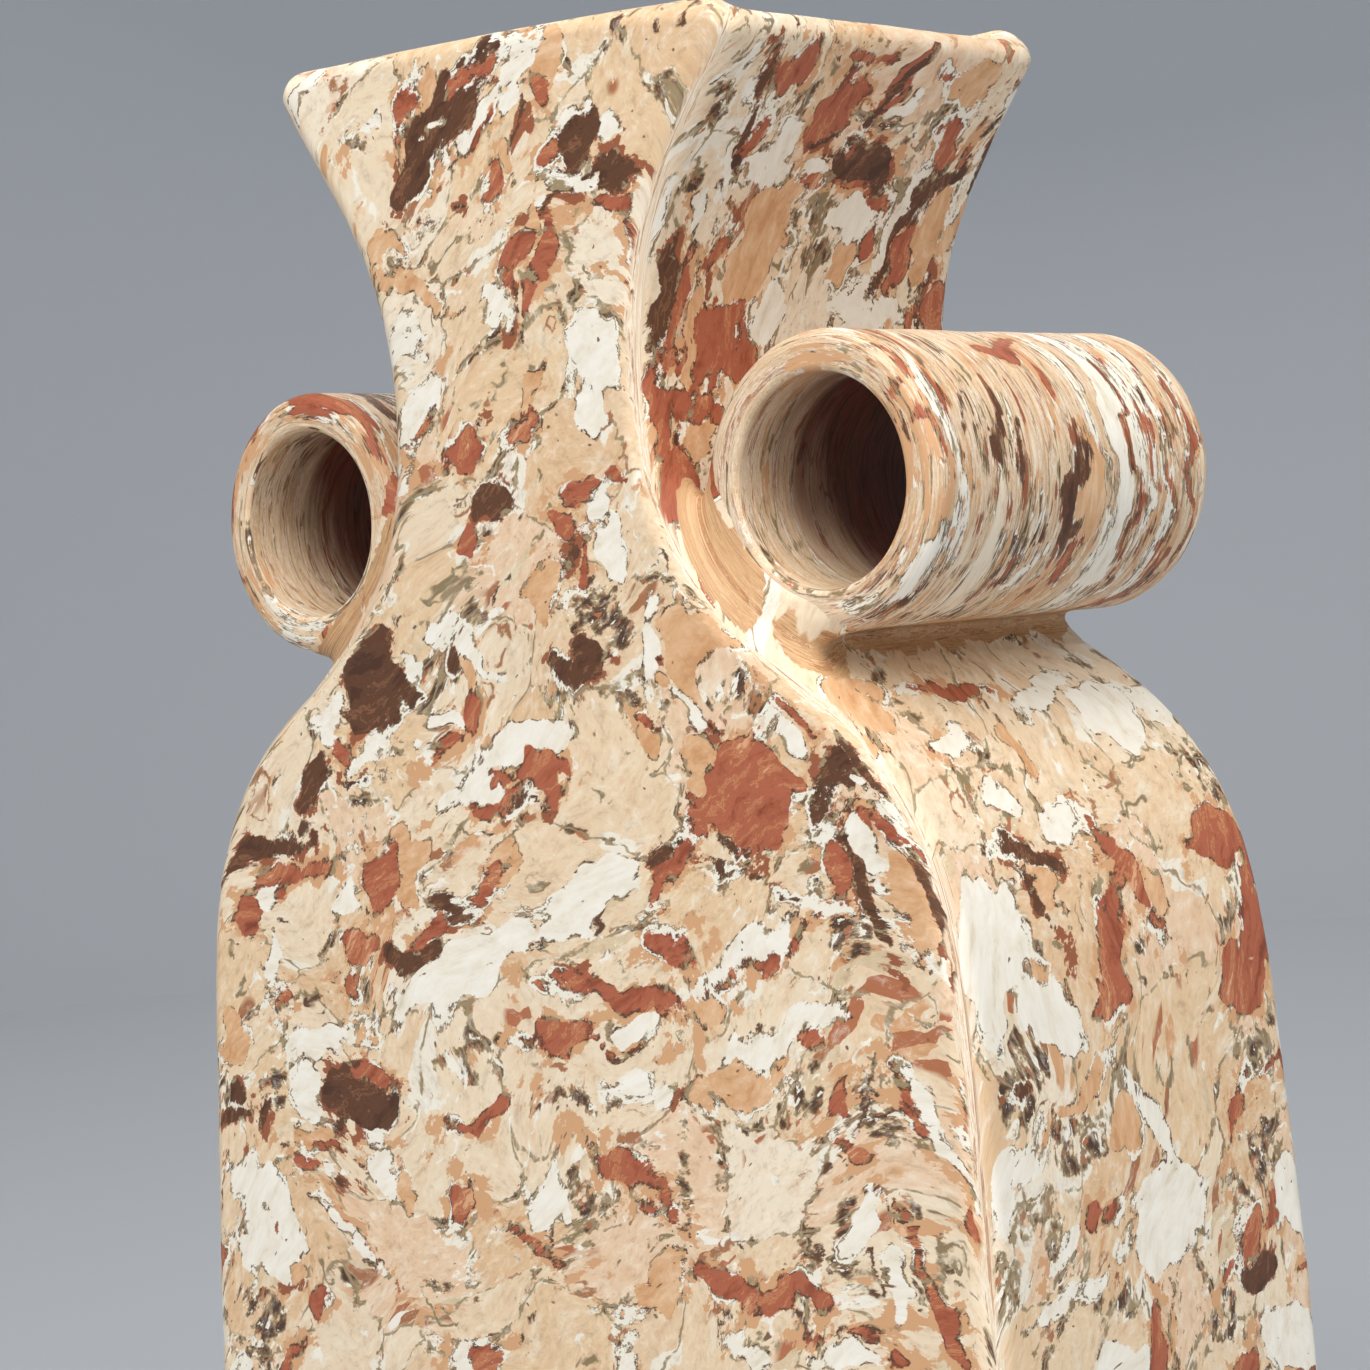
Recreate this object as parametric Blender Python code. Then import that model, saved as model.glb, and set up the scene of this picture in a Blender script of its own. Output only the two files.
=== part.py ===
"""Slab-built vase in marbled clay, with an open clay tube lying along each side of its neck.

Metres, +Z up. The origin is the middle of the foot, and the wide front faces -Y.
"""

import math

import bmesh
import bpy
import numpy as np

# Widths of the bottle shape seen from the front, measured over the outside. Each side of the body
# draws in from the belly by the given taper, down to the foot and up to the shoulder.
BELLY_WIDTH = 0.224
FOOT_TAPER = 0.0025
SHOULDER_TAPER = 0.0027
TURN_WIDTH = 0.1486
NECK_WIDTH = 0.073
MOUTH_WIDTH = 0.1288

# Rise from each of those widths to the next one, the first from the top of the base.
BELLY_RISE = 0.076
SHOULDER_RISE = 0.085
TURN_RISE = 0.078
NECK_RISE = 0.0595
MOUTH_RISE = 0.0642

# Way that the outline runs there, in degrees: 90 is straight up, and more leans inwards. Each curve
# keeps to the way it starts and ends for the given percentage of the straight line between its ends.
SHOULDER_HEADING = 93
TURN_HEADING = 148
MOUTH_HEADING = 54
CURVE_PULL_PERCENT = 41.5

# Depths seen from the side: the slabs are parallel down the neck and spread towards the foot.
FOOT_DEPTH = 0.114
NECK_DEPTH = 0.100

# Clay thicknesses, and the roundings that fingers leave.
WALL = 0.008
BASE_THICKNESS = 0.009
CORNER_RADIUS = 0.0055
INSIDE_CORNER_RADIUS = 0.004
FOOT_RADIUS = 0.0025

# The lip was cut by hand, so its four corners stand a little above or below its height.
LIP_LEFT_FRONT = 0.0035
LIP_RIGHT_FRONT = -0.0022
LIP_RIGHT_BACK = -0.0007
LIP_LEFT_BACK = 0.0015

# Tubes: the rise is from the turn of the shoulder to the axis, the setback from the front slab's face.
TUBE_DIAMETER = 0.0572
TUBE_BORE = 0.0403
TUBE_LENGTH = 0.0905
TUBE_SETBACK = 0.0075
TUBE_RISE = 0.0379
LEFT_TUBE_LIFT = 0.0013

# Soft clay that beds each tube: squeezed flat under it, and pressed into the creases beside it,
# where a fingertip of the given radius has smoothed it hollow.
BED = 0.0011
LOWER_COIL_RADIUS = 0.007
UPPER_COIL_RADIUS = 0.005
COIL_LEAST_THICKNESS = 0.0012
COIL_EDGE_ANGLE = 30
COIL_END_MARGIN = 0.003

# Open line between two pieces of clay. A coil is set off the wall along lines that meet it aslant,
# so its line is wider there by the given factor.
JOINT = 0.0003
SLANT_FACTOR = 1.6

# Fineness of the curved surfaces, and of the search for where two of them meet.
ROWS_PER_CURVE = (3, 4, 9, 8, 7)
CORNER_STEPS = 2
LIP_STEPS = 3
SLAB_COLUMNS = 6
TUBE_STEPS = 44
TUBE_LIP_STEPS = 6
COIL_STEPS = 7
HALVINGS = 40
SHARP_ANGLE = 40
WELD_DISTANCE = 0.00001

# Clay colours in linear light. Each piece gets the one that shows most on it.
CREAM = (0.80, 0.70, 0.55)
BEIGE = (0.74, 0.58, 0.42)
TAN = (0.66, 0.42, 0.25)
CLAY_ROUGHNESS = 0.55


def stations():
    """(half width, height, heading) where the outline's curves meet, from the base to the lip."""
    rises = (BASE_THICKNESS + JOINT, BELLY_RISE, SHOULDER_RISE, TURN_RISE, NECK_RISE, MOUTH_RISE)
    foot_width = BELLY_WIDTH - 2 * FOOT_TAPER
    shoulder_width = BELLY_WIDTH - 2 * SHOULDER_TAPER
    widths = (foot_width, BELLY_WIDTH, shoulder_width, TURN_WIDTH, NECK_WIDTH, MOUTH_WIDTH)
    headings = (90, 90, SHOULDER_HEADING, TURN_HEADING, 90, MOUTH_HEADING)
    heights = np.cumsum(rises)
    return [(w / 2, float(h), math.radians(a)) for w, h, a in zip(widths, heights, headings)]


def curve_between(start, end, steps):
    """Rows of the cubic curve from one station to the next, without the last one."""
    p0 = np.array(start[:2])
    p3 = np.array(end[:2])
    pull = CURVE_PULL_PERCENT / 100 * np.linalg.norm(p3 - p0)
    p1 = p0 + pull * np.array((math.cos(start[2]), math.sin(start[2])))
    p2 = p3 - pull * np.array((math.cos(end[2]), math.sin(end[2])))
    rows = []
    for step in range(steps):
        t = step / steps
        u = 1 - t
        x, z = u**3 * p0 + 3 * u * u * t * p1 + 3 * u * t * t * p2 + t**3 * p3
        run, rise = u * u * (p1 - p0) + 2 * u * t * (p2 - p1) + t * t * (p3 - p2)
        rows.append((float(x), float(z), math.atan2(rise, run)))
    return rows


def outline():
    """Rows (half width, height, heading) up the right side of the outer surface, to the lip."""
    marks = stations()
    rows = []
    for start, end, steps in zip(marks, marks[1:], ROWS_PER_CURVE):
        rows += curve_between(start, end, steps)
    return rows + [marks[-1]]


def half_depth(height):
    """Distance from the middle of the vase to the outside of the front slab."""
    turn_height = stations()[3][1]
    spread = max(0.0, 1 - height / turn_height)
    return (NECK_DEPTH + (FOOT_DEPTH - NECK_DEPTH) * spread) / 2


def lifted(x, y, z):
    """The point where the hand-cut lip puts it: the flare is drawn up or down towards each corner."""
    neck_height = stations()[4][1]
    mouth_height = stations()[5][1]
    share = min(1.0, max(0.0, (z - neck_height) / (mouth_height - neck_height)))
    right = 0.5 + x / MOUTH_WIDTH
    back = 0.5 + y / NECK_DEPTH
    front_lift = LIP_LEFT_FRONT * (1 - right) + LIP_RIGHT_FRONT * right
    back_lift = LIP_LEFT_BACK * (1 - right) + LIP_RIGHT_BACK * right
    return (x, y, z + share * share * (front_lift * (1 - back) + back_lift * back))


def corner_point(row, depth, advance, angle):
    """Point on the rounded right back corner at this depth in the wall, moved on along the outline.

    Angle 0 is where the rounding leaves the back slab, and a quarter turn where it meets the side strip.
    """
    x, z, heading = row
    share = depth / WALL
    radius = CORNER_RADIUS * (1 - share) + INSIDE_CORNER_RADIUS * share
    sink = depth + radius * (1 - math.sin(angle))
    x += advance * math.cos(heading) - sink * math.sin(heading)
    z += advance * math.sin(heading) + sink * math.cos(heading)
    return x, half_depth(z) - depth - radius * (1 - math.cos(angle)), z


def corner_angles(start, end):
    return [start + (end - start) * step / CORNER_STEPS for step in range(CORNER_STEPS + 1)]


def wall_sections(rows, with_lip):
    """(row, outer depth, inner depth, advance) of each section up a wall, and round its lip."""
    sections = [(row, 0.0, WALL, 0.0) for row in rows]
    if with_lip:
        for step in range(1, LIP_STEPS + 1):
            angle = math.pi / 2 * step / LIP_STEPS
            depth = WALL / 2 * (1 - math.cos(angle))
            sections.append((rows[-1], depth, WALL - depth, WALL / 2 * math.sin(angle)))
    return sections


def level_share(row, depth, advance):
    """What brings the outward-leaning lip upright, where it runs across the middle of a slab."""
    heading = row[2]
    if heading != stations()[-1][2]:
        return 0.0
    return (WALL / 2 - depth) * math.cos(heading) + advance * (1 - math.sin(heading))


def slab_line(row, depth, advance, facing):
    """Points across the front (facing -1) or back (facing 1) slab at one depth, from left to right."""
    ends = [corner_point(row, depth, advance, angle) for angle in corner_angles(0, math.pi / 4)]
    edge_x, edge_y, edge_z = ends[-1]
    ends[-1] = (edge_x - JOINT / math.sqrt(2), edge_y, edge_z)
    reach, flat_y, flat_z = ends[0]
    flat = [(reach * (2 * i / SLAB_COLUMNS - 1), flat_y, flat_z) for i in range(1, SLAB_COLUMNS)]
    left_end = [(-x, y, z) for x, y, z in reversed(ends)]
    level = level_share(row, depth, advance)
    return [
        lifted(x, facing * y, z + level * (1 - (x / edge_x) ** 2)) for x, y, z in left_end + flat + ends
    ]


def strip_line(row, depth, advance, side):
    """Points along a side strip (side -1 is the left one) at one depth, from front to back."""
    angles = corner_angles(math.pi / 2, math.pi / 4)
    ends = [corner_point(row, depth, advance, angle) for angle in angles]
    edge_x, edge_y, edge_z = ends[-1]
    ends[-1] = (edge_x, edge_y - JOINT / math.sqrt(2), edge_z)
    front_end = [(x, -y, z) for x, y, z in reversed(ends)]
    return [lifted(side * x, y, z) for x, y, z in front_end + ends]


def wall_loops(sections, line, side):
    """The loop of points round a wall at each section: along its outside, then back along its inside."""
    loops = []
    for row, outer, inner, advance in sections:
        loops.append(line(row, outer, advance, side) + line(row, inner, advance, side)[::-1])
    return loops


def nearest_on_outline(x, z, rows):
    """Point of the outline, seen from the front, that is nearest to this one."""
    points = np.array([row[:2] for row in rows])
    start = points[:-1]
    run = points[1:] - start
    share = ((np.array((x, z)) - start) * run).sum(axis=1) / (run * run).sum(axis=1)
    nearest = start + np.clip(share, 0, 1)[:, None] * run
    return nearest[np.argmin(np.hypot(x - nearest[:, 0], z - nearest[:, 1]))]


def outside_distance(x, z, rows):
    """Distance from a point to the outline, seen from the front, and less than nothing inside it."""
    distance = math.dist((x, z), nearest_on_outline(x, z, rows))
    widths, heights, _ = zip(*rows)
    inside = x < np.interp(z, heights, widths)
    return -distance if inside else distance


def solve(rising, low, high):
    """Where a rising function crosses nothing, by halving."""
    for _ in range(HALVINGS):
        middle = (low + high) / 2
        if rising(middle) < 0:
            low = middle
        else:
            high = middle
    return high


def tube_centre(rows, side):
    """(x, z) of a tube's axis, as if on the right: it is bedded in the hollow under the neck."""
    z = stations()[3][1] + TUBE_RISE + (LEFT_TUBE_LIFT if side < 0 else 0)
    reach = TUBE_DIAMETER / 2 + BED + JOINT
    return solve(lambda x: outside_distance(x, z, rows) - reach, 0, BELLY_WIDTH), z


def nearest_row(rows, x, z):
    gaps = [math.hypot(row[0] - x, row[1] - z) for row in rows]
    return gaps.index(min(gaps))


def around(x, z, radius, angle):
    return x + radius * math.cos(angle), z + radius * math.sin(angle)


def coil_section(rows, side, turn, radius):
    """Points round the clay below (turn 1) or above (turn -1) the line where tube and wall are nearest.

    Its hollow face is an arc of this radius that touches both. Angles are swings from that line.
    """
    x, z = tube_centre(rows, side)
    tube_radius = TUBE_DIAMETER / 2
    touch = rows[nearest_row(rows, x, z)]
    touch_angle = math.atan2(touch[1] - z, touch[0] - x)

    def on_line(swing, reach):
        return around(x, z, reach, touch_angle + turn * swing)

    def swing_of(point):
        return (turn * (math.atan2(point[1] - z, point[0] - x) - touch_angle)) % math.tau

    def reach_of_wall(swing):
        return solve(lambda reach: -outside_distance(*on_line(swing, reach), rows), 0, 2 * TUBE_DIAMETER)

    def spare_thickness(swing):
        return reach_of_wall(swing) - tube_radius - COIL_LEAST_THICKNESS

    def spare_room(swing):
        return outside_distance(*on_line(swing, tube_radius + radius), rows) - radius

    start = solve(spare_thickness, JOINT / tube_radius, math.pi / 2)
    finger = on_line(solve(spare_room, start, math.pi), tube_radius + radius)
    wall_x, wall_z = nearest_on_outline(*finger, rows)
    to_wall = math.atan2(wall_z - finger[1], wall_x - finger[0])
    to_tube = math.atan2(z - finger[1], x - finger[0])
    sweep = (to_tube - to_wall + math.pi) % math.tau - math.pi
    edge = math.copysign(math.radians(COIL_EDGE_ANGLE), sweep)
    hollow = [
        around(*finger, radius, angle)
        for angle in np.linspace(to_wall + edge, to_wall + sweep - edge, COIL_STEPS)
    ]
    wall_side = [
        on_line(swing, reach_of_wall(swing) - SLANT_FACTOR * JOINT)
        for swing in np.linspace(start, swing_of(hollow[0]), COIL_STEPS)
    ]
    tube_side = [
        on_line(swing, tube_radius + JOINT)
        for swing in np.linspace(swing_of(hollow[-1]), start, COIL_STEPS)
    ]
    return wall_side + hollow + tube_side


def clay(name, colour):
    """Fired, unglazed clay in one colour."""
    material = bpy.data.materials.new(name)
    material.use_nodes = True
    shader = material.node_tree.nodes["Principled BSDF"]
    shader.inputs["Base Color"].default_value = (*colour, 1)
    shader.inputs["Roughness"].default_value = CLAY_ROUGHNESS
    shader.inputs["Metallic"].default_value = 0
    material.diffuse_color = (*colour, 1)
    return material


def add_piece(name, bm, colour):
    """Object from a bmesh, shaded smooth apart from its real edges."""
    bmesh.ops.recalc_face_normals(bm, faces=bm.faces)
    mesh = bpy.data.meshes.new(name)
    bm.to_mesh(mesh)
    bm.free()
    mesh.shade_smooth()
    mesh.set_sharp_from_angle(angle=math.radians(SHARP_ANGLE))
    mesh.materials.append(clay(name + "_clay", colour))
    piece = bpy.data.objects.new(name, mesh)
    bpy.context.scene.collection.objects.link(piece)
    piece.parent = vase
    return piece


def loft(loops):
    """Closed bmesh through loops of as many points each. A last loop that folds flat closes itself."""
    bm = bmesh.new()
    rings = [[bm.verts.new(point) for point in loop] for loop in loops]
    for low, high in zip(rings, rings[1:]):
        for i in range(len(low)):
            following = (i + 1) % len(low)
            bm.faces.new((low[i], low[following], high[following], high[i]))
    bm.faces.new(rings[0][::-1])
    folds_flat = math.dist(loops[-1][0], loops[-1][-1]) < WELD_DISTANCE
    if not folds_flat:
        bm.faces.new(rings[-1])
    bmesh.ops.remove_doubles(bm, verts=bm.verts, dist=WELD_DISTANCE)
    return bm


def add_base(foot):
    """Flat slab under the walls, with its lower edge rounded by hand."""
    angles = corner_angles(0, math.pi / 4)[:-1] + corner_angles(math.pi / 4, math.pi / 2)
    quarter = [corner_point(foot, 0.0, 0.0, angle)[:2] for angle in angles]
    plan = [(x, y) for x, y in reversed(quarter)]
    plan += [(-x, y) for x, y in quarter]
    plan += [(-x, -y) for x, y in reversed(quarter)]
    plan += [(x, -y) for x, y in quarter]
    loops = []
    for step in range(LIP_STEPS + 1):
        angle = math.pi / 2 * step / LIP_STEPS
        inset = FOOT_RADIUS * (1 - math.sin(angle))
        narrowing = 1 - inset / foot[0]
        thinning = 1 - 2 * inset / FOOT_DEPTH
        z = FOOT_RADIUS * (1 - math.cos(angle))
        loops.append([(x * narrowing, y * thinning, z) for x, y in plan])
    loops.append([(x, y, BASE_THICKNESS) for x, y in plan])
    add_piece("base_slab", loft(loops), BEIGE)


def add_slabs(rows):
    """Front and back slabs cut to the bottle shape, with mitred edges."""
    for name, facing in (("front_wall", -1), ("back_wall", 1)):
        add_piece(name, loft(wall_loops(wall_sections(rows, True), slab_line, facing)), CREAM)


def add_strips(name, rows, side):
    """Two bent strips that close one side, and meet behind the tube."""
    joint = nearest_row(rows, *tube_centre(rows, side))
    x, z, heading = rows[joint]
    after_joint = (x + JOINT * math.cos(heading), z + JOINT * math.sin(heading), heading)
    lower = wall_sections(rows[: joint + 1], False)
    upper = wall_sections([after_joint] + rows[joint + 1 :], True)
    add_piece(name + "_body_strip", loft(wall_loops(lower, strip_line, side)), BEIGE)
    add_piece(name + "_neck_strip", loft(wall_loops(upper, strip_line, side)), TAN)


def add_tube(name, rows, side):
    """Rolled clay tube with full round lips, open right through."""
    wall = (TUBE_DIAMETER - TUBE_BORE) / 2
    middle = (TUBE_DIAMETER + TUBE_BORE) / 4
    straight = TUBE_LENGTH / 2 - wall / 2
    bm = bmesh.new()
    verts = []
    for end in (-1, 1):
        for step in range(TUBE_LIP_STEPS + 1):
            angle = math.pi * step / TUBE_LIP_STEPS
            radius = middle - end * wall / 2 * math.cos(angle)
            along = end * (straight + wall / 2 * math.sin(angle))
            verts.append(bm.verts.new((radius, along, 0)))
    for vert, following in zip(verts, verts[1:] + verts[:1]):
        bm.edges.new((vert, following))
    mesh = bpy.data.meshes.new(name)
    bm.to_mesh(mesh)
    bm.free()
    mesh.materials.append(clay(name + "_clay", BEIGE))
    tube = bpy.data.objects.new(name, mesh)
    bpy.context.scene.collection.objects.link(tube)
    tube.parent = vase
    x, z = tube_centre(rows, side)
    tube.location = (side * x, TUBE_SETBACK - half_depth(z) + TUBE_LENGTH / 2, z)
    turn = tube.modifiers.new("Turn", "SCREW")
    turn.axis = "Y"
    turn.steps = TUBE_STEPS
    turn.render_steps = TUBE_STEPS
    turn.use_merge_vertices = True
    turn.merge_threshold = WELD_DISTANCE
    turn.use_smooth_shade = True


def add_coils(name, rows, side):
    """Soft clay pressed along both creases between a tube and the wall."""
    front = TUBE_SETBACK - half_depth(tube_centre(rows, side)[1]) + COIL_END_MARGIN
    back = front + TUBE_LENGTH - 2 * COIL_END_MARGIN
    for place, turn, radius in (("lower", 1, LOWER_COIL_RADIUS), ("upper", -1, UPPER_COIL_RADIUS)):
        section = coil_section(rows, side, turn, radius)
        loops = [[(side * x, y, z) for x, z in section] for y in (front, back)]
        add_piece(f"{name}_{place}_coil", loft(loops), TAN)


for leftover in list(bpy.data.objects):
    bpy.data.objects.remove(leftover)

vase = bpy.data.objects.new("vase", None)
bpy.context.scene.collection.objects.link(vase)

wall_rows = outline()
add_base(wall_rows[0])
add_slabs(wall_rows)
for side_name, side_sign in (("left", -1), ("right", 1)):
    add_strips(side_name, wall_rows, side_sign)
    add_tube(side_name + "_tube", wall_rows, side_sign)
    add_coils(side_name, wall_rows, side_sign)
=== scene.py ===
"""Looks of a slab-built vase in marbled clay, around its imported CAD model.

Sizes are millimetres, and a mesh turns to metres where it is made. The wide front faces -Y.
"""

import math

import bpy
import numpy as np
from mathutils import Matrix, Vector


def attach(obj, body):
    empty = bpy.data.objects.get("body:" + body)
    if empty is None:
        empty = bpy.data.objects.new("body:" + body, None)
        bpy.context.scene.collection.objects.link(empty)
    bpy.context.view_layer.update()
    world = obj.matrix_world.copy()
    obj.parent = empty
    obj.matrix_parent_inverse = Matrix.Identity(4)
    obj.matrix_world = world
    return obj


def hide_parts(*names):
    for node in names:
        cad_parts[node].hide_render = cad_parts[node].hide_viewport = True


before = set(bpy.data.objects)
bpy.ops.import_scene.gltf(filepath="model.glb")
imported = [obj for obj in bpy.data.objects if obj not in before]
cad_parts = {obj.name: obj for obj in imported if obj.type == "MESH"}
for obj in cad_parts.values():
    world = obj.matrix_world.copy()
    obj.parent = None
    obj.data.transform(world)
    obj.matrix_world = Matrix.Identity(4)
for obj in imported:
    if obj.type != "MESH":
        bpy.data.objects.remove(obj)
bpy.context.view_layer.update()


# The four walls: two slabs cut to a bottle shape, and two strips that close the sides. They are
# stoneware rolled out from blocks of torn and stacked coloured clays, joined on a mitre at each
# corner, rounded by fingers and left unglazed.

BELLY_WIDTH = 224
FOOT_TAPER = 2.5
SHOULDER_TAPER = 2.7
TURN_WIDTH = 148.6
NECK_WIDTH = 73
MOUTH_WIDTH = 128.8
BASE_TOP = 9
# How far each stretch of the outline rises, from the foot to the lip, and its heading at each end.
RISES = (0, 76.3, 85, 78, 59.5, 64.2)
HEADINGS = (90, 90, 93, 148, 90, 54)
TURN_HEIGHT = BASE_TOP + sum(RISES[:4])
NECK_HEIGHT = BASE_TOP + sum(RISES[:5])
CURVE_PULL = 0.415
CURVE_POINTS = 400
FOOT_DEPTH = 114
NECK_DEPTH = 100
WALL = 8
CORNER_RADIUS = 5.5
INSIDE_CORNER_RADIUS = 4
# How far the corners of the hand-cut lip stand above its level or below, and over what stretch a
# slab's top edge turns level.
LIP_LIFTS = {"left front": 3.5, "right front": -2.2, "right back": -0.7, "left back": 1.5}
LEVEL_FADE = 14
# How fine the meshes are. A wall's columns run a few past the mitre, for its normals, and are cut off.
GRID = 1.5
CORNER_STEPS = 10
PAST_MITRE = 2
SLAB_STEPS = 150
STRIP_STEPS = 66
LIP_STEPS = 15


def bottle_outline():
    """Even steps up the right side of the outside: half width, height, heading, and length so far."""
    widths = (
        BELLY_WIDTH - 2 * FOOT_TAPER,
        BELLY_WIDTH,
        BELLY_WIDTH - 2 * SHOULDER_TAPER,
        TURN_WIDTH,
        NECK_WIDTH,
        MOUTH_WIDTH,
    )
    heights = BASE_TOP + np.cumsum(RISES)
    marks = [np.array((w / 2, h)) for w, h in zip(widths, heights)]
    ways = [np.array((math.cos(math.radians(a)), math.sin(math.radians(a)))) for a in HEADINGS]
    t = np.linspace(0, 1, CURVE_POINTS)[:, None]
    pieces = []
    for i in range(len(marks) - 1):
        pull = CURVE_PULL * np.linalg.norm(marks[i + 1] - marks[i])
        p1 = marks[i] + pull * ways[i]
        p2 = marks[i + 1] - pull * ways[i + 1]
        u = 1 - t
        pieces.append(u**3 * marks[i] + 3 * u * u * t * p1 + 3 * u * t * t * p2 + t**3 * marks[i + 1])
    line = np.concatenate([pieces[0]] + [piece[1:] for piece in pieces[1:]])
    run = np.diff(line, axis=0)
    length = np.concatenate([[0], np.cumsum(np.hypot(run[:, 0], run[:, 1]))])
    middle = (length[1:] + length[:-1]) / 2
    steps = np.linspace(0, length[-1], int(length[-1] / GRID) + 1)
    heading = np.interp(steps, middle, np.arctan2(run[:, 1], run[:, 0]))
    return np.interp(steps, length, line[:, 0]), np.interp(steps, length, line[:, 1]), heading, steps


out_x, out_z, out_heading, out_length = bottle_outline()


def half_depth(z):
    """Half the vase's depth at a height. It narrows from the foot to the turn under the neck."""
    return (NECK_DEPTH + (FOOT_DEPTH - NECK_DEPTH) * np.clip(1 - z / TURN_HEIGHT, 0, 1)) / 2


def lip_lift(x, y, z):
    """How far the hand-cut lip draws the flare up or down there."""
    share = np.clip((z - NECK_HEIGHT) / RISES[-1], 0, 1)
    right = 0.5 + x / MOUTH_WIDTH
    back = 0.5 + y / NECK_DEPTH
    front_lift = LIP_LIFTS["left front"] * (1 - right) + LIP_LIFTS["right front"] * right
    back_lift = LIP_LIFTS["left back"] * (1 - right) + LIP_LIFTS["right back"] * right
    return share**2 * (front_lift * (1 - back) + back_lift * back)


def wall_profile():
    """Rows up the outside, over the lip and down the inside: x, z, heading, length, depth, advance."""
    turn = np.linspace(0, math.pi, LIP_STEPS + 1)[1:-1]
    count = len(out_x)
    order = np.concatenate([np.arange(count), np.full(len(turn), count - 1), np.arange(count)[::-1]])
    depth = np.concatenate([np.zeros(count), WALL / 2 * (1 - np.cos(turn)), np.full(count, WALL)])
    advance = np.concatenate([np.zeros(count), WALL / 2 * np.sin(turn), np.zeros(count)])
    return out_x[order], out_z[order], out_heading[order], out_length[order], depth, advance


def wall_points(rows, columns):
    """Points (row, column) of the wall. A column is (x share, y share, angle round the corner)."""
    x, z, heading, length, depth, advance = (row[:, None] for row in rows)
    across, through, angle = (np.array(column)[None, :] for column in zip(*columns))
    radius = CORNER_RADIUS + (INSIDE_CORNER_RADIUS - CORNER_RADIUS) * depth / WALL
    sink = depth + radius * (1 - np.sin(angle))
    edge_x = x + advance * np.cos(heading) - sink * np.sin(heading)
    edge_z = z + advance * np.sin(heading) + sink * np.cos(heading)
    edge_y = half_depth(edge_z) - depth - radius * (1 - np.cos(angle))
    px = across * edge_x
    py = through * edge_y
    fade = np.clip(1 - (out_length[-1] - length) / LEVEL_FADE, 0, 1)
    level = (WALL / 2 - depth) * np.cos(heading) + advance * (1 - np.sin(heading))
    mitre_x = x + advance * np.cos(heading) - (depth + radius * (1 - math.sqrt(0.5))) * np.sin(heading)
    off_mitre = 1 - np.minimum(1, (px / mitre_x) ** 2)
    on_slab = np.abs(through) == 1
    pz = edge_z + np.where(on_slab, level * fade**2 * (3 - 2 * fade) * off_mitre, 0)
    return np.stack([px, py, pz + lip_lift(px, py, edge_z)], axis=-1)


def columns_of(side, steps):
    """Columns across one wall from mitre to mitre, with a few more past each end."""
    along, across = (0, 1) if side in ("front", "back") else (1, 0)
    start = {"front": (-1, -1), "right": (1, -1), "back": (1, 1), "left": (-1, 1)}[side]
    step = math.pi / 4 / CORNER_STEPS
    turns = [math.pi / 4 - step * (i - PAST_MITRE) for i in range(CORNER_STEPS + PAST_MITRE)]
    shares = [2 * i / steps - 1 for i in range(steps + 1)]
    columns = []
    for turn in turns:
        columns.append((start[0], start[1], turn if along == 0 else math.pi / 2 - turn))
    for share in shares:
        place = list(start)
        place[along] = -share * start[along]
        columns.append((place[0], place[1], 0 if along == 0 else math.pi / 2))
    for turn in turns[::-1]:
        place = list(start)
        place[along] = -start[along]
        columns.append((place[0], place[1], turn if along == 0 else math.pi / 2 - turn))
    return columns


def normals_of(points):
    """Unit normals of a grid of points, which face left of a row's way and ahead of a column's."""
    normals = np.cross(np.gradient(points, axis=1), np.gradient(points, axis=0))
    return normals / np.linalg.norm(normals, axis=-1, keepdims=True)


WAVES = 14
WAVE_SPREAD = (0.6, 1.5)
WAVE_SUM = 5


def ripple(points, length, seed):
    """A smooth random field over points, between about -1 and 1, whose waves are of this length."""
    rng = np.random.default_rng(seed)
    waves = rng.normal(size=(WAVES, points.shape[-1]))
    lengths = np.linalg.norm(waves, axis=1)
    waves *= (math.tau / length * rng.uniform(*WAVE_SPREAD, WAVES) / lengths)[:, None]
    return np.sin(points @ waves.T + rng.uniform(0, math.tau, WAVES)).sum(axis=-1) / WAVE_SUM


MEAN_PRESS = 0.25
DEEPEST_PRESS = 0.6
# How deep fingers press the clay, over what width, and which draw of chance it is.
PRESSES = ((0.16, 55, 1), (0.07, 16, 2))


def pressed(points, normals):
    """The surface pressed in by up to half a millimetre, as clay that fingers have smoothed is."""
    press = MEAN_PRESS
    for deep, width, seed in PRESSES:
        press = press + deep * ripple(points, width, seed)
    return points - normals * np.clip(press, 0, DEEPEST_PRESS)[..., None]


SOFT_CLAYS = ("peach", "grit", "white")
HARD_CLAYS = ("rust", "dark")
CLAYS = SOFT_CLAYS + HARD_CLAYS
CLAY_SHARES = (0.2, 0.16, 0.3, 0.22, 0.12)
STREWN_LENGTHS = (10, 34)
STREWN_WIDTHS = (0.2, 0.6)
DARK_SIZE = 0.6
LEAN_SPREAD = 35
LUMP_REACH = 6
FRAYED_LENGTH = 16
SEAM_DRAG = 7
SEAM_SOFTNESS = 2
SURFACE_DEPTH = 5
# Bends: how far each pushes the clay, over what length, and which draw of chance it starts at.
LUMP_BENDS = ((2.2, 17, 10), (0.9, 6, 20))
LUMP_FRAY = ((2.6, 6, 30),)
BLOCK_BENDS = ((7, 75, 40), (2.2, 30, 44))
BLOCK_STRETCH = (0.75, 1.1)


def pushed(places, bends, axis):
    """How far some bends push each place along one axis."""
    return sum(far * ripple(places, length, seed + axis) for far, length, seed in bends)


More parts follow.
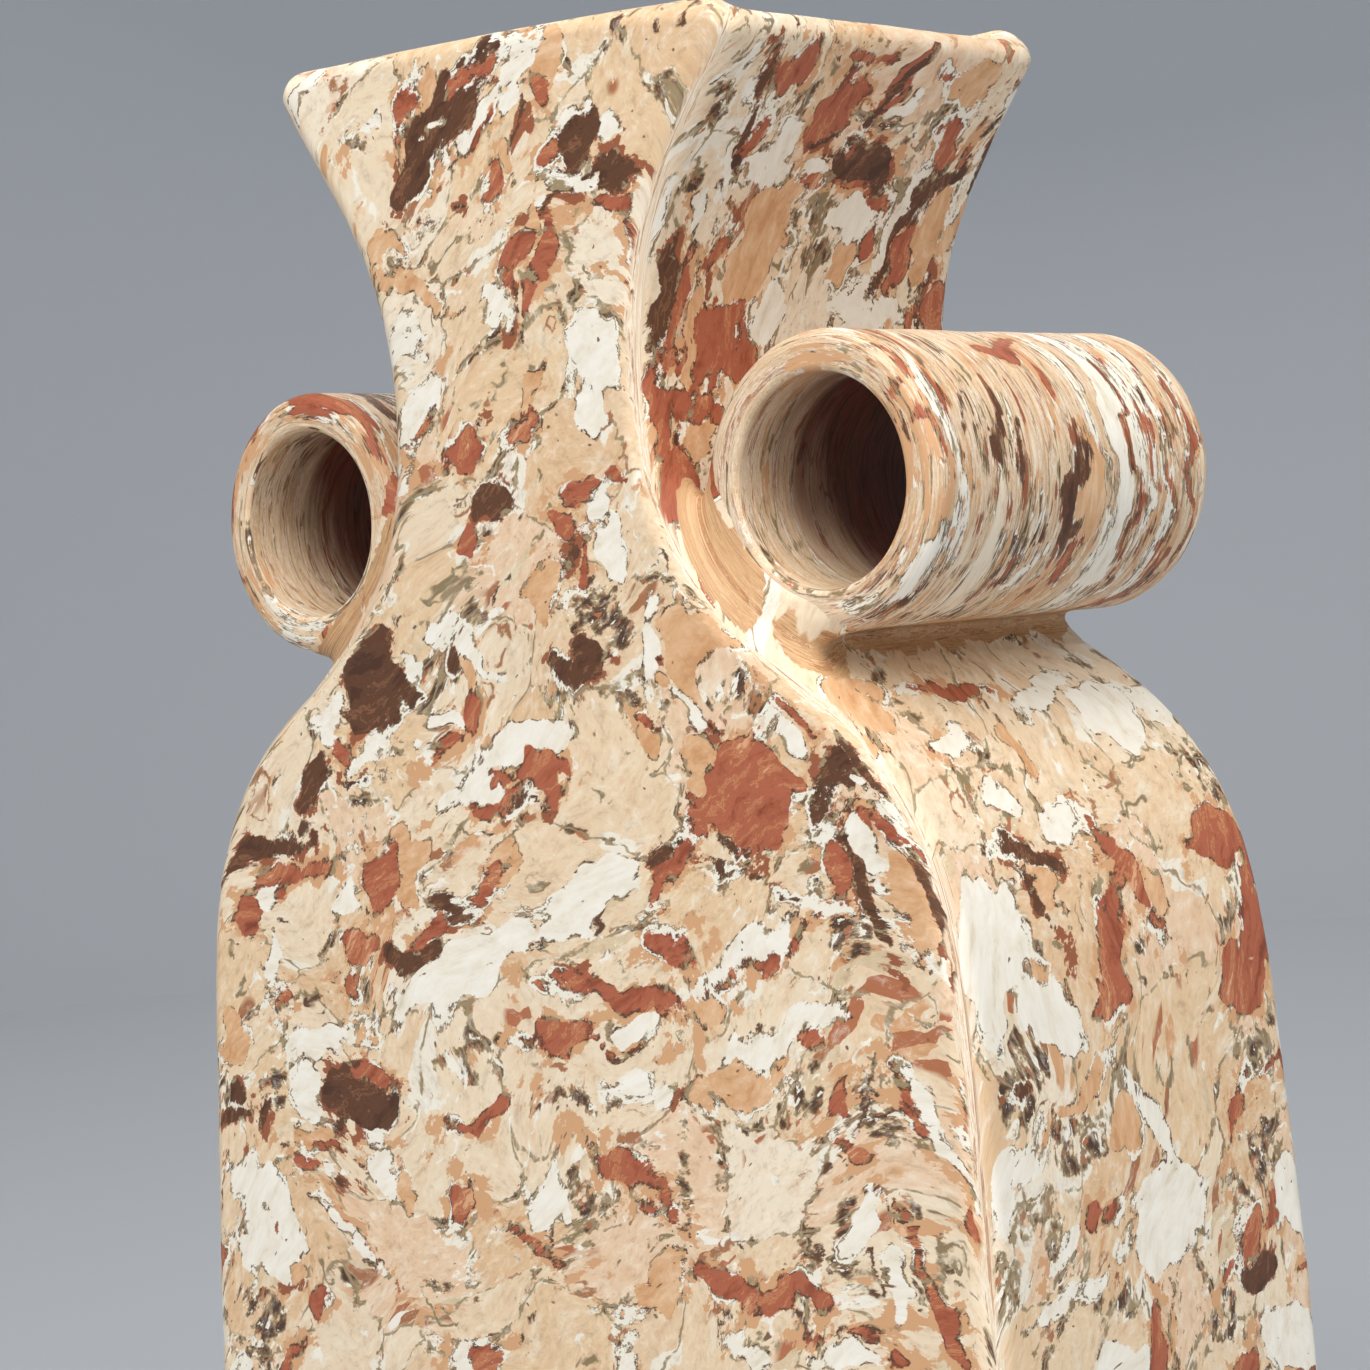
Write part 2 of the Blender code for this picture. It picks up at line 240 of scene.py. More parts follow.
def lumps_at(places, lumps, seam, round_places=None):
    """How deep each place lies in each colour of clay, in mm, where later lumps lie over earlier ones.

    A place is (across, up, depth in the wall), and a lump (clay, across, up, long, wide, lean, depth).
    The finger that closed a seam drew the clay beside it along.
    """
    bent = places.copy()
    felt = places if round_places is None else round_places
    for axis in range(2):
        bent[..., axis] += pushed(felt, LUMP_BENDS, axis)
    bent[..., 1] += SEAM_DRAG * np.exp(-seam / SEAM_SOFTNESS)
    fray = pushed(felt, LUMP_FRAY, 0)
    fields = {clay: np.full(places.shape[:-1], -float(LUMP_REACH)) for clay in CLAYS}
    for clay, across, up, long, wide, lean, *depth in lumps:
        turn = math.radians(lean)
        dx = bent[..., 0] - across
        dz = bent[..., 1] - up
        frayed = fray * min(1, long / FRAYED_LENGTH)
        along = (dx * math.cos(turn) + dz * math.sin(turn) + frayed) / (long / 2)
        aside = (dz * math.cos(turn) - dx * math.sin(turn)) / (wide / 2)
        if depth:
            sunk = (bent[..., 2] - depth[0]) / SURFACE_DEPTH
        else:
            sunk = bent[..., 2] / max(SURFACE_DEPTH, wide / 2)
        inside = (1 - np.sqrt(along**2 + aside**2 + sunk**2)) * wide / 2
        inside = np.clip(inside, -LUMP_REACH, LUMP_REACH)
        for other in CLAYS:
            if other == clay:
                fields[other] = np.maximum(fields[other], inside)
            else:
                fields[other] = np.minimum(fields[other], -inside)
    return fields


def flowing(places, lean, seam):
    """The places as they lay in the block, before it was bent in wide sweeps and drawn out aslant."""
    flow = places.copy()
    for axis in range(2):
        flow[..., axis] += pushed(places, BLOCK_BENDS, axis)
    flow[..., 1] += SEAM_DRAG * np.exp(-seam / SEAM_SOFTNESS)
    turn = math.radians(lean)
    along = flow[..., 0] * math.cos(turn) + flow[..., 1] * math.sin(turn)
    aside = flow[..., 1] * math.cos(turn) - flow[..., 0] * math.sin(turn)
    return np.stack([BLOCK_STRETCH[0] * along, BLOCK_STRETCH[1] * aside, flow[..., 2]], axis=-1)


def scattered(count, low, high, depth, seed, lean=25):
    """Lumps strewn by chance over a stretch of clay, in the mix that the whole block has."""
    rng = np.random.default_rng(seed)
    lumps = []
    for _ in range(count):
        clay = rng.choice(CLAYS, p=CLAY_SHARES)
        long = rng.uniform(*STREWN_LENGTHS) * (DARK_SIZE if clay == "dark" else 1)
        wide = long * rng.uniform(*STREWN_WIDTHS)
        place = rng.uniform(low, high)
        lumps.append((clay, place[0], place[1], long, wide, rng.normal(lean, LEAN_SPREAD), depth))
    return lumps


def linear(colour):
    """An sRGB hex colour as linear light, with full alpha."""
    parts = [int(colour[i : i + 2], 16) / 255 for i in (1, 3, 5)]
    return (*(p / 12.92 if p <= 0.04045 else ((p + 0.055) / 1.055) ** 2.4 for p in parts), 1)


def add(tree, kind, inputs, **settings):
    """Adds a node with its settings, and its inputs in their order, or by name or number.

    An input is a value, a socket to link to, or a node, which stands for its first output. The
    setting stops gives a colour ramp's (position, colour) pairs.
    """
    made = tree.nodes.new("ShaderNode" + kind)
    for name, value in settings.items():
        if name != "stops":
            setattr(made, name, value)
            continue
        for i, (position, colour) in enumerate(value):
            stop = made.color_ramp.elements[i] if i < 2 else made.color_ramp.elements.new(position)
            stop.position = position
            stop.color = linear(colour)
    for name, value in inputs.items() if isinstance(inputs, dict) else enumerate(inputs):
        if isinstance(value, bpy.types.Node):
            value = value.outputs[0]
        if isinstance(value, bpy.types.NodeSocket):
            tree.links.new(value, made.inputs[name])
        else:
            made.inputs[name].default_value = value
    return made


def constant_stops(colours):
    """Even stops for a ramp that picks one of these colours by a random number."""
    return [(i / len(colours), colour) for i, colour in enumerate(colours)]


# The colours of the clays, and of each fine mix of them, by the level of a noise.
RUST_STOPS = (
    (0.34, "#7E4029"),
    (0.42, "#A2563A"),
    (0.49, "#B3664A"),
    (0.53, "#A85B3D"),
    (0.56, "#C98A62"),
    (0.59, "#B0623F"),
    (0.65, "#DCA880"),
)
DARK_STOPS = ((0.4, "#4C2E1E"), (0.48, "#65412A"), (0.54, "#5A3825"), (0.57, "#8C6043"), (0.6, "#5F3C27"))
# Each laid-in clay's grain size, how far its layers are drawn out, and its colours.
CLAY_LOOKS = {
    "peach": (4, 1.6, ((0.36, "#E9C6A0"), (0.45, "#E0B58B"), (0.54, "#D9A97C"), (0.62, "#CF9A6C"))),
    "white": (4, 1.6, ((0.36, "#F8F4E9"), (0.5, "#F3EDDF"), (0.6, "#EDE4D2"), (0.68, "#DDD2BC"))),
    "rust": (5, 3, RUST_STOPS),
    "dark": (4, 2.6, DARK_STOPS),
}
BODY_TONES = ("#EBD2B0", "#E8CAA3", "#EEDABC", "#E8CCA8", "#E3C199", "#EDD8BA", "#EACBAA", "#F1E2CA")
SLIVER_TONES = ("#E7D4B5", "#B5714D", "#F4EFE1", "#D9C3A0", "#D8A679", "#DDC7A4", "#EAD9BD", "#A8704C")
CRUMB_STOPS = (
    (0.49, "#D3BE98"),
    (0.52, "#A99472"),
    (0.555, "#877053"),
    (0.595, "#674C37"),
    (0.64, "#4A3325"),
)
DRAWN_STOPS = (
    (0.3, "#6E4630"),
    (0.36, "#B07A52"),
    (0.4, "#E6CBA4"),
    (0.44, "#C99F74"),
    (0.475, "#EBD8B8"),
    (0.51, "#D3AC82"),
    (0.54, "#F4ECDC"),
    (0.57, "#CDA177"),
    (0.61, "#9C5F40"),
    (0.65, "#EADBC3"),
    (0.7, "#74492F"),
)
# Painted shade deep in a bore: dark red-browns for where little light reaches.
BORE_SHADE_STOPS = ((0.36, "#2A0F08"), (0.45, "#541C10"), (0.52, "#732C1B"), (0.57, "#45180D"), (0.66, "#30120A"))
SEAM_STOPS = (
    (0.3, "#8F5639"),
    (0.36, "#CFA67E"),
    (0.42, "#EADBC3"),
    (0.47, "#DDBE98"),
    (0.5, "#F3EDE0"),
    (0.55, "#E1C9A8"),
    (0.59, "#AB6F4B"),
    (0.62, "#E7D5B9"),
    (0.68, "#7A4C33"),
)
# How wide a chunk is, a sliver, and the teeth of a torn edge, and how far apart the grog's flecks lie.
CHUNK = 26
SLIVER = 3.7
TEAR = 5
GROG = 2.2
# How much the busy slivers, the threads drawn round a former, the streaks of a seam and the hairlines
# are stretched out or drawn together.
SLIVER_STRETCH = (0.5, 1.2, 1)
THREAD_DRAW = (0.3, 0.11, 0.11)
THREAD_FINENESS = 0.85
SEAM_DRAW = 0.05
SEAM_FINENESS = 1.1
HAIRLINE_SPREAD = 0.42
HAIRLINE_WRAP = 0.8
# The sweeps and tears that bend the stack: their size, and how far across they reach.
SWAYS = ((16, 9), (4, 2.2))
# The clay's noises: whether each follows the bent stack, its size, its detail and its roughness.
NOISES = {
    "calm": (False, 14, 1, 0.5),
    "mottle": (False, 6, 7, 0.66),
    "zone": (False, 24, 2, 0.6),
    "crumbs": (False, 3.4, 6, 0.6),
    "grain": (False, 0.9, 4, 0.7),
    "chips": (True, 2.2, 4, 0.55),
    "fine": (True, 2.4, 8, 0.72),
}
# Level lines of a bent noise: colour, size, how many, and how much of them is broken away.
HAIRLINES = (
    ("#A9744F", 9, 3, 0.545),
    ("#8F7D5C", 7, 2.6, 0.535),
    ("#F4EFE1", 8, 3, 0.53),
    ("#5E3F2D", 9, 3, 0.56),
)


def marbled_stoneware(name, seam_width, seam_stops=(), drawn=False):
    """Unglazed stoneware of torn, stacked and rolled coloured clays, rubbed smooth before firing.

    It gives crisp, ragged patches with gritty veins between them, on a dry, faintly satin skin.
    Lengths are mm. A map range takes its value, the levels it runs between, and what they give. A
    layer is a mask, and the colour that it lays over those under it.
    """
    material = bpy.data.materials.new(name)
    material.use_nodes = True
    tree = material.node_tree
    tree.nodes.clear()
    place, soft_clays, hard_clays = (
        add(tree, "Attribute", (), attribute_name=read).outputs["Vector"]
        for read in ("clay_place", "inlay_soft", "inlay_hard")
    )
    layers = []

    def torn(at, noise, reach):
        """A place or a depth, moved each way by a noise, by up to half this reach."""
        centred = add(tree, "VectorMath", (noise.outputs["Color"], (0.5, 0.5, 0.5)), operation="SUBTRACT")
        moved = add(tree, "VectorMath", {0: centred, "Scale": reach}, operation="SCALE")
        return add(tree, "VectorMath", (at, moved))

    def tint(noise, tints):
        """Light and dark tints, each (level where it starts, level where it is full, strength, tone)."""
        for low, high, most, tone in tints:
            layers.append((add(tree, "MapRange", (noise, low, high, 0, most)), tone))

    def line(gap, width, core, patches, low, high, tone):
        """A thin line where a gap is nothing, which shows only where the patches reach a level."""
        thin = add(tree, "MapRange", (gap, width, core))
        broken = add(tree, "MapRange", (patches, low, high))
        layers.append((add(tree, "Math", (thin, broken), operation="MULTIPLY"), tone))

    # Rolling bends the stack in wide sweeps and tears it in small ones.
    bent = place
    for size, reach in SWAYS:
        sway = add(tree, "TexNoise", {"Vector": place, "Scale": 1 / size, "Detail": 3, "Roughness": 0.55})
        bent = torn(bent, sway, reach)
    noises = {}
    for label, (follows, size, detail, roughness) in NOISES.items():
        at = bent if follows else place
        inputs = {"Vector": at, "Scale": 1 / size, "Detail": detail, "Roughness": roughness}
        noises[label] = add(tree, "TexNoise", inputs)
    calm, mottle, zone, crumbs, grain, chips, fine = noises.values()

    # How deep a place lies in each laid-in lump, once the lump's edge has torn more here and less there.
    raggedness = add(tree, "MapRange", (calm, 0.38, 0.62, 3, 8))
    depths = {}
    for field, clays, offset in ((soft_clays, SOFT_CLAYS, 0), (hard_clays, HARD_CLAYS, 50)):
        moved = add(tree, "VectorMath", (place, (offset, 0, 0)))
        tear = add(tree, "TexNoise", {"Vector": moved, "Scale": 1 / TEAR, "Detail": 7, "Roughness": 0.73})
        parts = add(tree, "SeparateXYZ", [torn(field, tear, raggedness)])
        depths.update(zip(clays, parts.outputs))
    near = depths["peach"]
    for clay in ("white", "rust", "dark"):
        near = add(tree, "Math", (near, depths[clay]), operation="MAXIMUM")

    # The pale body: chunks of beige clays of slightly unlike tones, mottled.
    chunk = add(tree, "TexVoronoi", {"Vector": bent, "Scale": 1 / CHUNK})
    pick = add(tree, "SeparateColor", [chunk.outputs["Color"]])
    body = add(tree, "ValToRGB", [pick.outputs["Red"]], stops=constant_stops(BODY_TONES))
    body.color_ramp.interpolation = "CONSTANT"
    tint(mottle, ((0.53, 0.66, 0.5, "#DDB58C"), (0.46, 0.35, 0.6, "#F1E6D0")))

    # White slip in stretches of the joints between the chunks.
    chunk_edge = add(tree, "TexVoronoi", {"Vector": bent, "Scale": 1 / CHUNK}, feature="DISTANCE_TO_EDGE")
    edge_gap = add(tree, "Math", (chunk_edge, CHUNK), operation="MULTIPLY")
    reach = add(tree, "MapRange", (zone, 0.48, 0.36, -2, 2.4))
    uneven = add(tree, "MapRange", (mottle, 0.3, 0.7, 1.3, -1.3))
    spread = add(tree, "Math", (reach, uneven))
    past = add(tree, "Math", (spread, edge_gap), operation="SUBTRACT")
    layers.append((add(tree, "MapRange", (past, -0.1, 0.15)), "#F1E9D8"))

    # Busy zones, where the stack was torn small: slivers of every clay.
    busy = add(tree, "MapRange", (zone, 0.575, 0.605))
    stretched = add(tree, "VectorMath", (bent, SLIVER_STRETCH), operation="MULTIPLY")
    sliver = add(tree, "TexVoronoi", {"Vector": stretched, "Scale": 1 / SLIVER})
    pick = add(tree, "SeparateColor", [sliver.outputs["Color"]])
    slivers = add(tree, "ValToRGB", [pick.outputs["Green"]], stops=constant_stops(SLIVER_TONES))
    slivers.color_ramp.interpolation = "CONSTANT"
    chance = add(tree, "Math", (pick.outputs["Red"], 0.6), operation="GREATER_THAN")
    layers.append((add(tree, "Math", (busy, chance), operation="MULTIPLY"), slivers))

    # Round a former the clays are drawn out into thin streaks.
    if drawn:
        wound = add(tree, "VectorMath", (bent, THREAD_DRAW), operation="MULTIPLY")
        inputs = {"Vector": wound, "Scale": THREAD_FINENESS, "Detail": 8, "Roughness": 0.75}
        thread = add(tree, "TexNoise", inputs)
        threads = add(tree, "ValToRGB", [thread], stops=DRAWN_STOPS)
        layers.append((add(tree, "MapRange", (calm, 0.6, 0.52)), threads))

    # Crumbs of brown clay in the tears between the chunks, and all through the gritty lumps, with
    # white and rust chips among them. A thin line runs on where the crumbs end.
    width = add(tree, "MapRange", (calm, 0.38, 0.66, 0.1, 1.9))
    past = add(tree, "Math", (width, edge_gap), operation="SUBTRACT")
    rich = add(tree, "Math", (past, depths["grit"]), operation="MAXIMUM")
    push = add(tree, "MapRange", (rich, -0.8, 1.2, -0.2, 0.05))
    level = add(tree, "Math", (crumbs, push))
    crumb = add(tree, "ValToRGB", [level], stops=CRUMB_STOPS)
    layers.append((add(tree, "MapRange", (level, 0.48, 0.51)), crumb))
    richness = add(tree, "MapRange", (rich, -0.3, 0.4))
    for low, high, tone in ((0.6, 0.62, "#F4EFE1"), (0.38, 0.36, "#B4714E")):
        chip = add(tree, "MapRange", (chips, low, high))
        layers.append((add(tree, "Math", (chip, richness), operation="MULTIPLY"), tone))
    line(edge_gap, 0.34, 0.16, crumbs, 0.42, 0.5, "#A08D6C")

    # Hairlines, where a layer was rolled out thin. They wrap round the lumps, and each kind is taken
    # from a stretch of its own.
    flat_place = add(tree, "VectorMath", {0: bent, "Scale": HAIRLINE_SPREAD}, operation="SCALE")
    rise = add(tree, "Math", (near, HAIRLINE_WRAP), operation="MULTIPLY")
    lift = add(tree, "CombineXYZ", {"Z": rise})
    wrapped = add(tree, "VectorMath", (flat_place, lift))
    for i, (tone, size, count, cover) in enumerate(HAIRLINES):
        moved = add(tree, "VectorMath", (wrapped, (31 * i + 7, 17 * i, 5 * i)))
        level = add(tree, "TexNoise", {"Vector": moved, "Scale": 1 / size, "Detail": 2, "Roughness": 0.45})
        many = add(tree, "Math", (level, count), operation="MULTIPLY")
        wave = add(tree, "Math", (many, 0.5), operation="PINGPONG")
        patch = add(tree, "TexNoise", {"Vector": moved, "Scale": 1 / 3, "Detail": 3})
        line(wave, 0.06, 0.03, patch, cover, cover + 0.04, tone)

    # The body is speckled through with its own fine grain.
    tint(fine, ((0.52, 0.68, 0.36, "#94694A"), (0.47, 0.34, 0.4, "#FFF6E6")))

    # Round the lumps, some of their neighbours in the stack: peach round rust, and rust round dark.
    for clay, tone, least, most in (("rust", "#D6A67B", 0.3, -3.2), ("dark", "#9A5B3D", 0.2, -1.9)):
        beside = add(tree, "MapRange", (mottle, 0.46, 0.6, least, most))
        past = add(tree, "Math", (depths[clay], beside), operation="SUBTRACT")
        layers.append((add(tree, "MapRange", (past, -0.1, 0.1)), tone))

    # White slip squeezed out round some of the lumps, then the lumps themselves. Rust has a dark rim.
    outside = add(tree, "MapRange", (calm, 0.52, 0.64, 0.2, -1.3))
    squeezed = add(tree, "Math", (near, outside), operation="SUBTRACT")
    layers.append((add(tree, "MapRange", (squeezed, -0.1, 0.1)), "#F1ECDD"))
    off_slip = add(tree, "Math", [squeezed], operation="ABSOLUTE")
    line(off_slip, 0.22, 0.1, crumbs, 0.46, 0.5, "#8A6F52")
    for clay, (size, drawn_out, tones) in CLAY_LOOKS.items():
        inside = add(tree, "MapRange", (depths[clay], -0.08, 0.08))
        laid = add(tree, "VectorMath", (bent, (1 / drawn_out, 1, 1)), operation="MULTIPLY")
        grains = add(tree, "TexNoise", {"Vector": laid, "Scale": 1 / size, "Detail": 8, "Roughness": 0.7})
        layers.append((inside, add(tree, "ValToRGB", [grains], stops=tones)))
        if clay == "rust":
            thin = add(tree, "MapRange", (depths[clay], 0.5, 0.32))
            rim = add(tree, "Math", (thin, inside), operation="MULTIPLY")
            some = add(tree, "MapRange", (crumbs, 0.47, 0.5))
            layers.append((add(tree, "Math", (rim, some), operation="MULTIPLY"), "#7A4630"))

    # A dark hairline, and crumbs, along stretches of the lumps' edges.
    off_edge = add(tree, "Math", [near], operation="ABSOLUTE")
    for tone, width, low in (("#5A3C2A", 0.28, 0.495), ("#A08D6C", 0.5, 0.56)):
        line(off_edge, width, width / 2, crumbs, low, low + 0.03, tone)

    # Fine flecks of grog all over.
    grog = add(tree, "TexVoronoi", {"Vector": bent, "Scale": 1 / GROG})
    speck = add(tree, "MapRange", (grog, 0.17, 0.11))
    pick = add(tree, "SeparateColor", [grog.outputs["Color"]])
    few = add(tree, "Math", (pick.outputs["Blue"], 0.88), operation="GREATER_THAN")
    layers.append((add(tree, "Math", (speck, few), operation="MULTIPLY"), "#7E5F46"))

    # Deep in a bore the clay is darkened as painted shade, for where little light reaches far in. Beside the
    # hard clays' depths stands how far in the bore a place lies or, on a wall, how far from its seam.
    away = add(tree, "SeparateXYZ", [hard_clays]).outputs["Z"]
    if drawn:
        uneven = add(tree, "MapRange", (calm, 0.35, 0.65, -3, 3))
        shifted = add(tree, "Math", (away, uneven))
        mask = add(tree, "MapRange", (shifted, 7, 30, 0, 0.94), interpolation_type="SMOOTHSTEP")
        layers.append((mask, add(tree, "ValToRGB", [thread], stops=BORE_SHADE_STOPS)))

    # Along the mitres, and round the joining clay, the clays are drawn out into streaks; round the joining
    # clay
    # # their tones are also darkened as painted shade of the crease.
    if seam_width:
        parts = add(tree, "SeparateXYZ", [place])
        pulled = add(tree, "Math", (parts.outputs["Y"], SEAM_DRAW), operation="MULTIPLY")
        streak_place = add(tree, "CombineXYZ", (away, pulled))
        inputs = {"Vector": streak_place, "Scale": SEAM_FINENESS, "Detail": 7, "Roughness": 0.7}
        streak = add(tree, "TexNoise", inputs)
        wander = add(tree, "TexNoise", {"Vector": place, "Scale": 1 / 12, "Detail": 4, "Roughness": 0.6})
        reach = add(tree, "MapRange", (wander, 0.35, 0.65, -0.4, seam_width))
        past = add(tree, "Math", (away, reach), operation="SUBTRACT")
        mask = add(tree, "MapRange", (past, 0.3, -0.3))
        layers.append((mask, add(tree, "ValToRGB", [streak], stops=seam_stops)))

    colour = body
    for mask, over in layers:
        over = linear(over) if isinstance(over, str) else over
        colour = add(tree, "Mix", {0: mask, 6: colour, 7: over}, data_type="RGBA").outputs[2]
    relief = add(tree, "Bump", {"Height": grain, "Strength": 0.12, "Distance": 0.0004})
    dryness = add(tree, "MapRange", {"Value": mottle, "To Min": 0.5, "To Max": 0.68})
    skin = {"Base Color": colour, "Roughness": dryness, "Normal": relief, "IOR": 1.45}
    add(tree, "OutputMaterial", {"Surface": add(tree, "BsdfPrincipled", skin)})
    return material


# A face is shaded flat where its own normal and a point's agree less than this.
SQUARE_ON = 0.5


def shell_mesh(name, points, normals, quads, attributes, with_edges):
    """Mesh in metres from points with their own normals. Faces that lie across them may be flat."""
    mesh = bpy.data.meshes.new(name)
    mesh.from_pydata((points / 1000).tolist(), [], quads.tolist())
    for attribute, values in attributes.items():
        layer = mesh.attributes.new(attribute, "FLOAT_VECTOR", "POINT")
        layer.data.foreach_set("vector", np.ascontiguousarray(values, np.float32).ravel())
    mesh.polygons.foreach_set("use_smooth", [True] * len(quads))
    corners = normals[quads]
    if with_edges:
        p = points[quads]
        flat = np.cross(p[:, 2] - p[:, 0], p[:, 3] - p[:, 1])
        flat /= np.maximum(np.linalg.norm(flat, axis=1, keepdims=True), 1e-9)
        away = np.einsum("fcx,fx->fc", corners, flat) < SQUARE_ON
        corners = np.where(away.any(axis=1)[:, None, None], flat[:, None, :], corners)
    mesh.normals_split_custom_set(corners.reshape(-1, 3).tolist())
    return mesh


def grid_quads(rows, columns, wrap_rows=False):
    """Faces of a grid of points numbered row by row."""
    row = np.arange(rows if wrap_rows else rows - 1)[:, None]
    column = np.arange(columns - 1)[None, :]
    above = (row + 1) % rows
    corner = row * columns + column
    over = above * columns + column
    return np.stack([corner, corner + 1, over + 1, over], axis=-1).reshape(-1, 4)


def wall_surface(side):
    """The wall's profile rows, and its surface as points (row, column), as uneven as real clay."""
    rows = wall_profile()
    steps = SLAB_STEPS if side in ("front", "back") else STRIP_STEPS
    points = wall_points(rows, columns_of(side, steps))
    return rows, pressed(points, normals_of(points))


def clay_piece(name, nodes, material, points, normals, quads, places, fields, extra, edges=True):
    """A piece of the vase with its clay worked into the attributes that the material reads."""
    soft = np.stack([fields[clay] for clay in SOFT_CLAYS], axis=-1)
    hard = np.stack([fields[clay] for clay in HARD_CLAYS] + [extra], axis=-1)
    attributes = {"clay_place": places, "inlay_soft": soft, "inlay_hard": hard}
    flat = {key: values.reshape(-1, 3) for key, values in attributes.items()}
    mesh = shell_mesh(name, points.reshape(-1, 3), normals.reshape(-1, 3), quads, flat, edges)
    mesh.materials.append(material)
    piece = bpy.data.objects.new(name, mesh)
    bpy.context.scene.collection.objects.link(piece)
    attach(piece, "root")
    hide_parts(*nodes)


# Past this many mm the finger that closed a seam isn't felt.
SEAM_REACH = 20


def wall_piece(name, node, side, lumps, lean, offset, low=0, high=None):
    """One wall, or the stretch of it between two rows, closed along its mitres and ends."""
    rows, points = wall_surface(side)
    normals = normals_of(points)
    length, depth, advance = (row[:, None] for row in rows[3:])
    total = len(length)
    if high is None:
        keep = np.arange(low, total - low)
    else:
        keep = np.concatenate([np.arange(low, high + 1), np.arange(total - 1 - high, total - low)])
    step = np.linalg.norm(np.diff(points, axis=1), axis=-1)
    width = np.concatenate([np.zeros((total, 1)), np.cumsum(step, axis=1)], axis=1)
    from_left = width - width[:, PAST_MITRE : PAST_MITRE + 1]
    from_right = width[:, -PAST_MITRE - 1 : -PAST_MITRE] - width
    up = points[..., 2] if side in ("front", "back") else length + advance + 0 * width
    places = np.stack([(from_left - from_right) / 2, up, depth + 0 * width], axis=-1)
    seam = np.clip(np.minimum(from_left, from_right), 0, SEAM_REACH)
    shown = slice(PAST_MITRE, -PAST_MITRE)
    points, normals, places, seam = (a[keep][:, shown] for a in (points, normals, places, seam))
    count, wide = seam.shape
    half = count // 2
    index = np.arange(count * wide).reshape(count, wide)
    quads = [grid_quads(count, wide)]
    for edge, turned in ((index[:, 0], False), (index[:, -1], True)):
        back = edge[::-1]
        mitre = np.stack([edge[: half - 1], edge[1:half], back[1:half], back[: half - 1]], axis=-1)
        quads.append(mitre[:, ::-1] if turned else mitre)
    quads.append(np.stack([index[-1, :-1], index[-1, 1:], index[0, 1:], index[0, :-1]], axis=-1))
    clay_piece(
        name,
        [node],
        wall_clay,
        points,
        normals,
        np.concatenate(quads),
        flowing(places, lean, seam) + np.array(offset),
        lumps_at(places, lumps, seam),
        seam,
    )


SEAM_WIDTH = 2.2
SLAB_LEAN = 30
BACK_LEAN = 25
STRIP_LEAN = 72

wall_clay = marbled_stoneware("marbled_stoneware_slab", SEAM_WIDTH, SEAM_STOPS)
